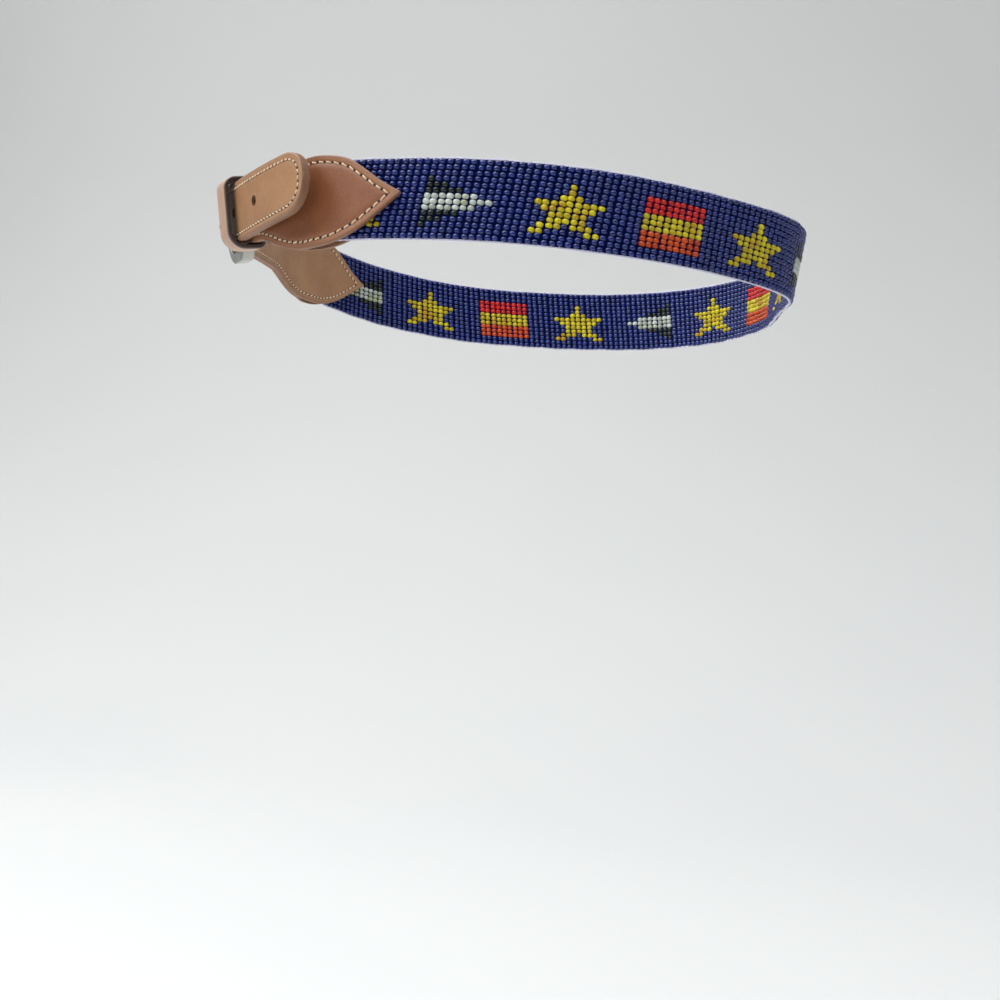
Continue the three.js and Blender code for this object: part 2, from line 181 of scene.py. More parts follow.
def catmull(before: np.ndarray, a: np.ndarray, b: np.ndarray, after: np.ndarray, t: float) -> np.ndarray:
    """Point of a Catmull-Rom segment.

    Args:
        before: Control point ahead of the segment.
        a: Segment's start.
        b: Segment's end.
        after: Control point past the segment.
        t: Share of the segment.

    Returns:
        Interpolated values.
    """
    slope_a = (b - before) / 2
    slope_b = (after - a) / 2
    return (
        a
        + slope_a * t
        + (3 * (b - a) - 2 * slope_a - slope_b) * t**2
        + (2 * (a - b) + slope_a + slope_b) * t**3
    )


@dataclass(frozen=True)
class Place:
    """Local axes on the belt."""

    centre: Vector
    along: Vector
    out: Vector
    rise: Vector

    def at(self, out: float, rise: float, along: float = 0.0) -> Vector:
        """Point from local distances.

        Args:
            out: Distance outwards.
            rise: Distance upwards.
            along: Distance along the belt.

        Returns:
            Point in millimetres.
        """
        return self.centre + self.out * out + self.rise * rise + self.along * along

    def flipped(self) -> "Place":
        """The same place facing the other side of the belt."""
        return Place(self.centre, self.along, -self.out, self.rise)


class BeltLoop:
    """Middle line of the bead band, closed round the waist."""

    def __init__(self) -> None:
        """Measures the loop."""
        turn = np.linspace(0, 2 * math.pi, LOOP_STEPS + 1)
        across, back = np.cos(turn), np.sin(turn)
        power = np.where(back < 0, 2 / FRONT_SQUARENESS, 2 / BACK_SQUARENESS)
        x = LOOP_HALF_WIDTH * np.sign(across) * np.abs(across) ** power
        y = LOOP_HALF_DEPTH * np.sign(back) * np.abs(back) ** power
        steps = np.hypot(np.diff(x), np.diff(y))
        self._arc = np.concatenate([[0], np.cumsum(steps)])
        self._x, self._y = x, y
        self.length = float(self._arc[-1])
        self._wave = np.array(LOOP_WAVE)

    def wave(self, arc: float) -> np.ndarray:
        """Reads the table of the belt's waves.

        Args:
            arc: Place on the loop.

        Returns:
            Rise, out and lean shares.
        """
        count = len(self._wave)
        at = (arc / self.length) % 1.0 * count
        index = int(at)
        rows = [self._wave[(index + shift) % count] for shift in (-1, 0, 1, 2)]
        return catmull(*rows, at - index)

    def point(self, arc: float) -> Vector:
        """Middle of the band.

        Args:
            arc: Place on the loop.

        Returns:
            Point in millimetres.
        """
        rise, out, _ = self.wave(arc)
        at = arc % self.length
        x, y = np.interp(at, self._arc, self._x), np.interp(at, self._arc, self._y)
        ahead = (at + 0.3) % self.length
        behind = (at - 0.3) % self.length
        dx = np.interp(ahead, self._arc, self._x) - np.interp(behind, self._arc, self._x)
        dy = np.interp(ahead, self._arc, self._y) - np.interp(behind, self._arc, self._y)
        outward = Vector((dy, -dx, 0.0)).normalized()
        return Vector((x, y, FRONT_RISE * rise)) + outward * (FRONT_RISE * out)

    def place(self, arc: float) -> Place:
        """Local axes of the band.

        Args:
            arc: Place on the loop.

        Returns:
            Its axes, leaning as the belt does.
        """
        along = (self.point(arc + 0.5) - self.point(arc - 0.5)).normalized()
        out = along.cross(UP).normalized()
        lean = Quaternion(along, FRONT_LEAN * self.wave(arc)[2])
        return Place(self.point(arc), along, lean @ out, lean @ out.cross(along))


class Billet:
    """Line of the strap with the holes."""

    def __init__(self, loop: BeltLoop, buckle: "BuckleAxes") -> None:
        """Lays the strap so that the prong meets its hole.

        Args:
            loop: The band's middle line.
            buckle: The buckle's axes.
        """
        self.loop = loop
        crossing = self._crossing(buckle)
        self.tip_arc = self.arc_from(crossing, TIP_TO_FIRST_HOLE + HOLE_IN_USE * HOLE_PITCH)
        strap = TIP_TO_FIRST_HOLE + (HOLE_COUNT - 1) * HOLE_PITCH + LAST_HOLE_TO_LEAF
        self.leaf_end_arc = self.arc_from(self.tip_arc, -strap)
        self.far_tip_arc = self.leaf_end_arc - LEAF_LENGTH

    def point(self, arc: float) -> Vector:
        """Middle of the strap.

        Args:
            arc: Place on the loop that it passes.

        Returns:
            Point in millimetres.
        """
        over_fold = FOLD_RADIUS + CLEARANCE + LEATHER
        climb = over_fold * ramp(FRONT_BAR_ARC + RIM_WIDTH / 2, HEEL_BAR_ARC - HEEL_BAR_RADIUS, arc)
        settled = ramp(HEEL_BAR_ARC, KEEPER_ARC, arc)
        past = max(0.0, arc - KEEPER_NEAR_ARC) / TIP_LIFT_RUN
        out = climb + (BILLET_OVER_TAB - over_fold) * settled + TIP_LIFT * past * past
        rise = BILLET_RISE * settled + TIP_RISE * min(1.0, past)
        return self.loop.place(arc).at(out, rise)

    def place(self, arc: float) -> Place:
        """Local axes of the strap.

        Args:
            arc: Place on the loop that it passes.

        Returns:
            Its axes.
        """
        along = (self.point(arc + 0.5) - self.point(arc - 0.5)).normalized()
        out = along.cross(self.loop.place(arc).rise).normalized()
        return Place(self.point(arc), along, out, out.cross(along))

    def arc_from(self, arc: float, length: float) -> float:
        """Walks along the leather.

        Args:
            arc: Start.
            length: Leather to pass, negative away from the tip.

        Returns:
            Arc at the end.
        """
        step = math.copysign(0.1, length)
        run = 0.0
        here = self.point(arc)
        while run < abs(length):
            arc += step
            ahead = self.point(arc)
            run += (ahead - here).length
            here = ahead
        return arc

    def _crossing(self, buckle: "BuckleAxes") -> float:
        """Finds where the prong passes the strap.

        Args:
            buckle: The buckle's axes.

        Returns:
            Arc of the hole in use.
        """
        shank_out = (buckle.prong_start_out + buckle.prong_end_out) / 2
        arc = HEEL_BAR_ARC
        while (self.point(arc) - buckle.centre).dot(buckle.out) > shank_out:
            arc -= 0.1
        return arc


class BuckleAxes:
    """Axes of the buckle, from its front bar to its heel bar."""

    prong_start_out = HEEL_BAR_RADIUS + CLEARANCE + PRONG_RING_WALL - PRONG_RADIUS
    prong_end_out = RIM_THICKNESS / 2 + 2 * CLEARANCE + PRONG_RADIUS

    def __init__(self, loop: BeltLoop) -> None:
        """Lays the buckle along the loop.

        Args:
            loop: The band's middle line.
        """
        heel = loop.place(HEEL_BAR_ARC)
        front_out = LEATHER + CLEARANCE + RIM_THICKNESS / 2 + FRONT_BAR_TILT * RIM_WIDTH
        chord = heel.centre - loop.place(FRONT_BAR_ARC).at(front_out, 0.0)
        self.centre = heel.centre
        self.rise = heel.rise
        self.out = chord.cross(heel.rise).normalized()
        self.along = heel.rise.cross(self.out)

    def at(self, forward: float, rise: float, out: float) -> Vector:
        """Point from the heel bar's middle.

        Args:
            forward: Distance towards the front bar.
            rise: Distance upwards.
            out: Distance outwards.

        Returns:
            Point in millimetres.
        """
        return self.centre - self.along * forward + self.rise * rise + self.out * out

    @property
    def prong_start(self) -> Vector:
        """Root of the prong's shank."""
        return self.at(0.0, 0.0, self.prong_start_out)

    @property
    def prong_tip(self) -> Vector:
        """End of the prong's shank."""
        return self.at(FRAME_REACH + PRONG_OVERHANG, 0.0, self.prong_end_out)


class Bead(Enum):
    """Bead colours of the chart."""

    BLUE = "."
    YELLOW = "y"
    WHITE = "w"
    BLACK = "k"
    RED = "r"
    ORANGE = "o"


STAR = (
    "....y....",
    "....y....",
    "...yyy...",
    "yyyyyyyyy",
    ".yyyyyyy.",
    "..yyyyy..",
    "..yyyyy..",
    ".yyy.yyy.",
    "yy.....yy",
)
FLAG = ("rrrrrrrrr",) * 3 + ("yyyyyyyyy",) * 3 + ("ooooooooo",) * 3
PENNANT = (
    "k........",
    "kkk......",
    "kkkkk....",
    "wwwwwww..",
    "wwwwwwwww",
    "wwwwwww..",
    "kkkkk....",
    "kkk......",
    "k........",
)


class BeadChart:
    """Which colour each bead of the loomed band has."""

    motif_pitch = 14
    motif_top_row = 3
    motifs = (PENNANT, STAR, FLAG, STAR)

    def colour(self, column: int, row: int) -> Bead:
        """Reads the chart.

        Args:
            column: Column, 0 at the left of a pennant.
            row: Row from the top.

        Returns:
            The bead's colour.
        """
        motif, within = divmod(column, self.motif_pitch)
        line = row - self.motif_top_row
        picture = self.motifs[motif % len(self.motifs)]
        if within < len(picture[0]) and 0 <= line < len(picture):
            return Bead(picture[line][within])
        return Bead.BLUE

# Meshes


class Ends(Enum):
    """How a loft ends."""

    CAPPED = "a face at both ends"
    JOINED = "last ring on the first"
    SHEET = "open rows"


def loft(
    shape: bmesh.types.BMesh, rings: Sequence[Sequence[Vector]], ends: Ends = Ends.CAPPED
) -> list[int]:
    """Skins a row of rings, each extruded from the last.

    Args:
        shape: Where it is made.
        rings: Points of each ring in millimetres.
        ends: How it ends.

    Returns:
        Indices of the vertices, ring by ring.
    """
    wrap = ends is not Ends.SHEET
    row = [shape.verts.new(point) for point in rings[0]]
    for pair in zip(row, row[1:] + row[:1] * wrap):
        shape.edges.new(pair)
    rows = [row]
    more = list(rings[1:]) + ([rings[0]] if ends is Ends.JOINED else [])
    for ring in more:
        edges = [shape.edges.get(pair) for pair in zip(row, row[1:] + row[:1] * wrap)]
        made = bmesh.ops.extrude_edge_only(shape, edges=edges)["geom"]
        fresh = {item for item in made if isinstance(item, bmesh.types.BMVert)}
        row = [next(e.other_vert(v) for e in v.link_edges if e.other_vert(v) in fresh) for v in row]
        for vert, point in zip(row, ring):
            vert.co = point
        rows.append(row)
    if ends is Ends.JOINED:
        bmesh.ops.weld_verts(shape, targetmap=dict(zip(rows.pop(), rows[0])))
    elif ends is Ends.CAPPED:
        shape.faces.new(rows[0])
        shape.faces.new(rows[-1])
    bmesh.ops.recalc_face_normals(shape, faces=shape.faces)
    shape.verts.index_update()
    return [vert.index for one in rows for vert in one]


def tube(line: Sequence[Vector], radius: float, sides: int) -> bmesh.types.BMesh:
    """Round tube along a line.

    Args:
        line: Points in millimetres.
        radius: Tube radius.
        sides: Sides of its section.

    Returns:
        Its shape.
    """
    normal = (line[1] - line[0]).normalized().orthogonal().normalized()
    rings = []
    for index, point in enumerate(line):
        tangent = (line[min(index + 1, len(line) - 1)] - line[max(index - 1, 0)]).normalized()
        normal = (normal - tangent * normal.dot(tangent)).normalized()
        rings.append(circle(point, normal * radius, tangent.cross(normal) * radius, sides))
    shape = bmesh.new()
    loft(shape, rings)
    return shape


def circle(centre: Vector, first: Vector, second: Vector, sides: int) -> list[Vector]:
    """Points round an ellipse.

    Args:
        centre: Its centre.
        first: Half axis where it starts.
        second: Half axis a quarter turn on.
        sides: How many points.

    Returns:
        The points.
    """
    turns = [2 * math.pi * k / sides for k in range(sides)]
    return [centre + first * math.cos(a) + second * math.sin(a) for a in turns]


def make_object(name: str, shape: bmesh.types.BMesh, smooth_angle: float = 40.0) -> bpy.types.Object:
    """Makes a mesh object at the origin and frees its shape.

    Args:
        name: Piece name.
        shape: Its shape in millimetres.
        smooth_angle: Edges sharper than this stay sharp, in degrees.

    Returns:
        The object.
    """
    bmesh.ops.scale(shape, vec=(MM, MM, MM), verts=shape.verts)
    mesh = bpy.data.meshes.new(name)
    shape.to_mesh(mesh)
    shape.free()
    return link_mesh(name, mesh, smooth_angle)


def link_mesh(name: str, mesh: bpy.types.Mesh, smooth_angle: float) -> bpy.types.Object:
    """Puts a mesh in the scene.

    Args:
        name: Object name.
        mesh: Its mesh.
        smooth_angle: Edges sharper than this stay sharp, in degrees.

    Returns:
        The object.
    """
    obj = bpy.data.objects.new(name, mesh)
    bpy.context.scene.collection.objects.link(obj)
    shade(obj, smooth_angle)
    return obj


def shade(obj: bpy.types.Object, angle: float) -> None:
    """Shades smooth up to an angle.

    Args:
        obj: Mesh object.
        angle: Degrees.
    """
    mesh = obj.data
    mesh.polygons.foreach_set("use_smooth", [True] * len(mesh.polygons))
    mesh.set_sharp_from_angle(angle=math.radians(angle))


def mark(shape: bmesh.types.BMesh, order: Sequence[int], **numbers: Sequence[float]) -> None:
    """Keeps numbers on vertices for the materials.

    Args:
        shape: Their shape.
        order: Indices of the vertices.
        **numbers: A row of numbers for each attribute.
    """
    for key, values in numbers.items():
        layer = shape.verts.layers.float.new(key)
        shape.verts.ensure_lookup_table()
        for index, value in zip(order, values):
            shape.verts[index][layer] = value


def cut(obj: bpy.types.Object, cutter: bpy.types.Object) -> None:
    """Cuts one object from another and drops the cutter.

    Args:
        obj: Object to keep.
        cutter: Shape to take away.
    """
    modifier = obj.modifiers.new("cut", "BOOLEAN")
    modifier.operation = "DIFFERENCE"
    modifier.solver = "EXACT"
    modifier.object = cutter
    apply_modifiers(obj)
    bpy.data.objects.remove(cutter)


def apply_modifiers(obj: bpy.types.Object) -> None:
    """Makes an object's modifiers part of its mesh.

    Args:
        obj: Mesh object.
    """
    depsgraph = bpy.context.evaluated_depsgraph_get()
    mesh = bpy.data.meshes.new_from_object(obj.evaluated_get(depsgraph))
    obj.modifiers.clear()
    old = obj.data
    obj.data = mesh
    bpy.data.meshes.remove(old)


def join(name: str, objects: Sequence[bpy.types.Object], smooth_angle: float) -> bpy.types.Object:
    """Joins mesh objects into one.

    Args:
        name: Name of the result.
        objects: Objects at the origin.
        smooth_angle: Edges sharper than this stay sharp, in degrees.

    Returns:
        The joined object.
    """
    shape = bmesh.new()
    for obj in objects:
        shape.from_mesh(obj.data)
        bpy.data.objects.remove(obj)
    mesh = bpy.data.meshes.new(name)
    shape.to_mesh(mesh)
    shape.free()
    return link_mesh(name, mesh, smooth_angle)


class MeshPile:
    """Gathers many small shapes into one mesh."""

    def __init__(self) -> None:
        self.points: list[Vector] = []
        self.faces: list[list[int]] = []
        self.tones: list[float] = []

    def add(self, shape: bmesh.types.BMesh, tone: float = 0.0) -> None:
        """Adds one shape and frees it.

        Args:
            shape: The shape in millimetres.
            tone: Number kept on its vertices.
        """
        shape.verts.index_update()
        first = len(self.points)
        self.points += [vert.co.copy() for vert in shape.verts]
        self.faces += [[first + vert.index for vert in face.verts] for face in shape.faces]
        self.tones += [tone] * len(shape.verts)
        shape.free()

    def build(self, name: str, smooth_angle: float = 60.0) -> bpy.types.Object:
        """Makes the object.

        Args:
            name: Piece name.
            smooth_angle: Edges sharper than this stay sharp.

        Returns:
            The object.
        """
        return pile_object(name, np.array(self.points), self.faces, self.tones, smooth_angle)


def pile_object(
    name: str, points: np.ndarray, faces: Sequence[Sequence[int]], tones: Sequence[float], smooth_angle: float
) -> bpy.types.Object:
    """Makes one object of gathered shapes.

    Args:
        name: Piece name.
        points: Vertices in millimetres.
        faces: Vertex indices.
        tones: Tone of each vertex.
        smooth_angle: Edges sharper than this stay sharp, in degrees.

    Returns:
        The object.
    """
    mesh = bpy.data.meshes.new(name)
    mesh.from_pydata((points * MM).tolist(), [], [list(map(int, face)) for face in faces])
    mesh.update()
    mesh.attributes.new("tone", "FLOAT", "POINT").data.foreach_set("value", np.asarray(tones, np.float32))
    return link_mesh(name, mesh, smooth_angle)


# Materials


class Nodes:
    """Short way to write a node tree."""

    def __init__(self, tree: bpy.types.NodeTree) -> None:
        """Takes the tree to write to."""
        self.tree = tree
        self._x = 0

    def add(self, kind: str, inputs: dict | None = None, **settings: object) -> bpy.types.Node:
        """Adds a node.

        Args:
            kind: Blender's node type.
            inputs: Values or sockets by input name or index.
            **settings: Properties of the node.

        Returns:
            The node.
        """
        node = self.tree.nodes.new(kind)
        node.location = (self._x, 0)
        self._x += 190
        for key, value in settings.items():
            setattr(node, key, value)
        for key, value in (inputs or {}).items():
            if isinstance(value, bpy.types.NodeSocket):
                self.tree.links.new(value, node.inputs[key])
            else:
                node.inputs[key].default_value = value
        return node

    def math(self, operation: str, a: Value, b: Value = 0.0, clamp: bool = False) -> bpy.types.NodeSocket:
        """Adds a Math node.

        Args:
            operation: What it does.
            a: First value or socket.
            b: Second value or socket.
            clamp: Whether the result stays in 0 to 1.

        Returns:
            Its output.
        """
        node = self.add("ShaderNodeMath", {0: a, 1: b}, operation=operation, use_clamp=clamp)
        return node.outputs[0]

    def mix(self, factor: Value, a: Value, b: Value, blend: str = "MIX") -> bpy.types.NodeSocket:
        """Adds a colour Mix node.

        Args:
            factor: Share of the second colour.
            a: First colour.
            b: Second colour.
            blend: Blend type.

        Returns:
            Its colour output.
        """
        node = self.add("ShaderNodeMix", data_type="RGBA", blend_type=blend)
        for index, value in ((0, factor), (6, a), (7, b)):
            if isinstance(value, bpy.types.NodeSocket):
                self.tree.links.new(value, node.inputs[index])
            else:
                node.inputs[index].default_value = value
        return node.outputs[2]

    def noise(
        self, vector: Value, scale: Value, detail: float = 3.0, rough: float = 0.55
    ) -> bpy.types.NodeSocket:
        """Adds a Noise texture.

        Args:
            vector: Coordinates.
            scale: Scale.
            detail: Octaves.
            rough: Roughness of the octaves.

        Returns:
            Its value output.
        """
        inputs = {"Vector": vector, "Scale": scale, "Detail": detail, "Roughness": rough}
        return self.add("ShaderNodeTexNoise", inputs).outputs[0]

    def band(
        self, value: Value, low: float, high: float, start: float = 0.0, end: float = 1.0
    ) -> bpy.types.NodeSocket:
        """Adds a Map Range node.

        Args:
            value: Socket to map.
            low: Value that gives the start.
            high: Value that gives the end.
            start: Result at the low value.
            end: Result at the high value.

        Returns:
            Its output.
        """
        node = self.add("ShaderNodeMapRange", {0: value, 1: low, 2: high, 3: start, 4: end})
        return node.outputs[0]


def linear(red: int, green: int, blue: int) -> tuple[float, float, float, float]:
    """Colour from its 0 to 255 display values.

    Args:
        red: Red.
        green: Green.
        blue: Blue.

    Returns:
        Scene-linear colour.
    """

    def one(value: int) -> float:
        """Scene-linear value of one channel."""
        share = value / 255
        return share / 12.92 if share <= 0.04045 else ((share + 0.055) / 1.055) ** 2.4

    return one(red), one(green), one(blue), 1.0


def new_material(name: str) -> tuple[bpy.types.Material, Nodes, bpy.types.Node]:
    """Makes an empty node material.

    Args:
        name: Material name.

    Returns:
        The material, its node helper and its Principled node.
    """
    material = bpy.data.materials.new(name)
    material.use_nodes = True
    tree = material.node_tree
    tree.nodes.clear()
    nodes = Nodes(tree)
    shader = nodes.add("ShaderNodeBsdfPrincipled")
    output = nodes.add("ShaderNodeOutputMaterial")
    tree.links.new(shader.outputs[0], output.inputs[0])
    return material, nodes, shader


def wear_group() -> bpy.types.NodeTree:
    """Builds the shared group for grime and handling marks.

    Returns:
        The group, from a vector to a patch mask and a fine grain.
    """
    group = bpy.data.node_groups.new("handling", "ShaderNodeTree")
    face = group.interface
    face.new_socket("Vector", in_out="INPUT", socket_type="NodeSocketVector")
    size = face.new_socket("Scale", in_out="INPUT", socket_type="NodeSocketFloat")
    size.default_value = 40.0
    face.new_socket("Patches", in_out="OUTPUT", socket_type="NodeSocketFloat")
    face.new_socket("Grain", in_out="OUTPUT", socket_type="NodeSocketFloat")
    nodes = Nodes(group)
    source = nodes.add("NodeGroupInput")
    target = nodes.add("NodeGroupOutput")
    vector, scale = source.outputs["Vector"], source.outputs["Scale"]
    broad = nodes.noise(vector, scale, 4.0, 0.6)
    group.links.new(nodes.band(broad, 0.35, 0.68), target.inputs["Patches"])
    fine = nodes.noise(vector, nodes.math("MULTIPLY", scale, 22.0), 3.0, 0.6)
    pores = nodes.add(
        "ShaderNodeTexVoronoi", {"Vector": vector, "Scale": nodes.math("MULTIPLY", scale, 30.0)}
    ).outputs["Distance"]
    grain = nodes.math("ADD", nodes.math("MULTIPLY", fine, 0.6), nodes.math("MULTIPLY", pores, 0.5))
    group.links.new(grain, target.inputs["Grain"])
    return group


@dataclass(frozen=True)
class BeadFinish:
    """Opaque glass of one colour."""

    dark: Colour
    light: Colour
    stain: Colour
    gloss: float = 0.5
    roughness: float = 0.18

    def build(self, name: str) -> bpy.types.Material:
        """Makes the material.

        Args:
            name: Material name.

        Returns:
            The material.
        """
        material, nodes, shader = new_material(name)
        tone = nodes.add("ShaderNodeAttribute", attribute_name="tone").outputs["Fac"]
        spot = nodes.add("ShaderNodeTexCoord").outputs["Object"]
        cloud = nodes.noise(spot, 900.0, 2.0)
        share = nodes.math("ADD", nodes.math("MULTIPLY", tone, 0.8), nodes.math("MULTIPLY", cloud, 0.25))
        colour = nodes.mix(share, linear(*self.dark), linear(*self.light))
        odd = nodes.band(nodes.noise(spot, 170.0, 1.0), 0.56, 0.68, 0.0, 0.7)
        colour = nodes.mix(odd, colour, linear(*self.stain))
        tree = material.node_tree
        tree.links.new(colour, shader.inputs["Base Color"])
        rough = nodes.band(tone, 0.0, 1.0, self.roughness - 0.06, self.roughness + 0.1)
        tree.links.new(rough, shader.inputs["Roughness"])
        shader.inputs["IOR"].default_value = 1.5
        shader.inputs["Specular IOR Level"].default_value = self.gloss
        return material


@dataclass(frozen=True)
class LeatherFinish:
    """Vegetable-tanned leather with burnished or raw cut edges."""

    face: Colour
    worn: Colour
    margin: Colour
    edge: Colour
    edge_roughness: float = 0.6
    gloss: float = 0.12
    seam_dark: float = 0.35

    def build(self, name: str, group: bpy.types.NodeTree) -> bpy.types.Material:
        """Makes the material.

        Args:
            name: Material name.
            group: The shared handling group.

        Returns:
            The material.
        """
        material, nodes, shader = new_material(name)
        tree = material.node_tree
        spot = nodes.add("ShaderNodeTexCoord").outputs["Object"]
        marks = nodes.add("ShaderNodeGroup", node_tree=group)
        tree.links.new(spot, marks.inputs["Vector"])
        marks.inputs["Scale"].default_value = 45.0
        patches, grain = marks.outputs["Patches"], marks.outputs["Grain"]
        rim = nodes.add("ShaderNodeAttribute", attribute_name="cut").outputs["Fac"]
        edge = nodes.add("ShaderNodeAttribute", attribute_name="edge").outputs["Fac"]
        seam = nodes.add("ShaderNodeAttribute", attribute_name="seam").outputs["Fac"]
        colour = nodes.mix(patches, linear(*self.face), linear(*self.worn))
        uneven = nodes.math("ADD", edge, nodes.math("MULTIPLY", patches, 0.8))
        # Towards the edges the leather takes its margin colour; where the margin is much lighter, as on the
        # tab, the darker centre inside it is partly painted shade.
        outside = nodes.band(uneven, 1.8, 4.2, 0.85, 0.0)
        colour = nodes.mix(outside, colour, linear(*self.margin))
        speckle = nodes.band(nodes.noise(spot, 1400.0, 2.0), 0.3, 0.7, 0.9, 1.1)
        grey = nodes.add("ShaderNodeCombineColor", {0: speckle, 1: speckle, 2: speckle}).outputs[0]
        colour = nodes.mix(1.0, colour, grey, "MULTIPLY")
        near_edge = nodes.band(edge, 0.0, 1.3, 0.5, 0.0)
        colour = nodes.mix(near_edge, colour, linear(*self.edge))
        # Darker towards the stitch line.
        seam_darkening = nodes.band(seam, 0.0, 0.8, self.seam_dark, 0.0)
        colour = nodes.mix(seam_darkening, colour, linear(72, 44, 28))
        fibre = nodes.noise(spot, 2600.0, 3.0, 0.7)
        pale = tuple(min(1.0, 1.5 * c) for c in linear(*self.edge))
        raw = nodes.mix(nodes.band(fibre, 0.35, 0.7), linear(*self.edge), pale)
        colour = nodes.mix(rim, colour, raw)
        tree.links.new(colour, shader.inputs["Base Color"])
        rough = nodes.band(patches, 0.0, 1.0, 0.42, 0.56)
        rough = nodes.add(
            "ShaderNodeMix", {0: rim, 2: rough, 3: self.edge_roughness}, data_type="FLOAT"
        ).outputs[0]
        tree.links.new(rough, shader.inputs["Roughness"])
        shader.inputs["Coat Weight"].default_value = self.gloss
        shader.inputs["Coat Roughness"].default_value = 0.35
        height = nodes.math("ADD", grain, nodes.math("MULTIPLY", nodes.math("MULTIPLY", fibre, rim), 1.4))
        bump = nodes.add("ShaderNodeBump", {"Height": height, "Distance": 0.00008, "Strength": 0.55})
        tree.links.new(bump.outputs[0], shader.inputs["Normal"])
        return material


@dataclass(frozen=True)
class ThreadFinish:
    """Twisted thread."""

    dark: Colour
    light: Colour
    roughness: float = 0.7
    sheen: float = 0.2
    gloss: float = 0.5

    def build(self, name: str) -> bpy.types.Material:
        """Makes the material.

        Args:
            name: Material name.

        Returns:
            The material.
        """
        material, nodes, shader = new_material(name)
        tree = material.node_tree
        spot = nodes.add("ShaderNodeTexCoord").outputs["Object"]
        tone = nodes.add("ShaderNodeAttribute", attribute_name="tone").outputs["Fac"]
        ply = nodes.noise(spot, 2400.0, 3.0, 0.6)
        share = nodes.math("ADD", nodes.math("MULTIPLY", tone, 0.5), nodes.math("MULTIPLY", ply, 0.6), True)
        colour = nodes.mix(share, linear(*self.dark), linear(*self.light))
        tree.links.new(colour, shader.inputs["Base Color"])
        bump = nodes.add("ShaderNodeBump", {"Height": ply, "Distance": 0.00012, "Strength": 0.7})
        tree.links.new(bump.outputs[0], shader.inputs["Normal"])
        shader.inputs["Roughness"].default_value = self.roughness
        shader.inputs["Sheen Weight"].default_value = self.sheen
        shader.inputs["Specular IOR Level"].default_value = self.gloss
        return material


@dataclass(frozen=True)
class MetalFinish:
    """Nickel plate with light scratches."""

    colour: Colour
    roughness: float

    def build(self, name: str, group: bpy.types.NodeTree) -> bpy.types.Material:
        """Makes the material.

        Args:
            name: Material name.
            group: The shared handling group.

        Returns:
            The material.
        """
        material, nodes, shader = new_material(name)
        tree = material.node_tree
        spot = nodes.add("ShaderNodeTexCoord").outputs["Object"]
        marks = nodes.add("ShaderNodeGroup", node_tree=group)
        tree.links.new(spot, marks.inputs["Vector"])
        marks.inputs["Scale"].default_value = 120.0
        dull = tuple(0.72 * c for c in linear(*self.colour)[:3]) + (1.0,)
        colour = nodes.mix(nodes.math("MULTIPLY", marks.outputs[0], 0.6), linear(*self.colour), dull)
        tree.links.new(colour, shader.inputs["Base Color"])
        low, high = self.roughness - 0.06, self.roughness + 0.14
        tree.links.new(nodes.band(marks.outputs[0], 0.0, 1.0, low, high), shader.inputs["Roughness"])
        shader.inputs["Metallic"].default_value = 1.0
        bump = nodes.add(
            "ShaderNodeBump", {"Height": marks.outputs[1], "Distance": 0.00002, "Strength": 0.25}
        )
        tree.links.new(bump.outputs[0], shader.inputs["Normal"])
        return material


BEAD_FINISHES = {
    Bead.BLUE: BeadFinish((0, 20, 88), (0, 31, 114), (0, 24, 86), 0.7),
    Bead.YELLOW: BeadFinish((160, 138, 0), (214, 200, 6), (176, 126, 6)),
    Bead.WHITE: BeadFinish((146, 154, 142), (206, 214, 206), (158, 162, 112)),
    # The black beads' green tint is a painted reflection.
    Bead.BLACK: BeadFinish((6, 12, 10), (18, 32, 26), (28, 32, 16)),
    Bead.RED: BeadFinish((156, 10, 8), (216, 30, 18), (164, 16, 10)),
    Bead.ORANGE: BeadFinish((158, 42, 2), (208, 80, 8), (176, 58, 4)),
}
BILLET_TAN = LeatherFinish(
    face=(170, 128, 92), worn=(154, 108, 72), margin=(172, 130, 98), edge=(122, 86, 62)
)
# The tab's face and worn colours sit darker than its margin partly from handling and partly as painted shade
# of the billet's shadow and of the light grazing the tab.
TAB_BROWN_AND_SHADE = LeatherFinish(
    face=(142, 88, 54), worn=(126, 74, 44), margin=(160, 112, 80), edge=(120, 82, 58)
)
KEEPER_TAN = LeatherFinish(
    face=(190, 154, 130),
    worn=(172, 132, 104),
    margin=(194, 160, 138),
    # The burnished edge's own near-black; on the keeper's inner faces the same colour is painted shade inside
    # the loop.
    edge=(46, 31, 29),
    edge_roughness=0.3,
    gloss=0.2,
)


# Pieces


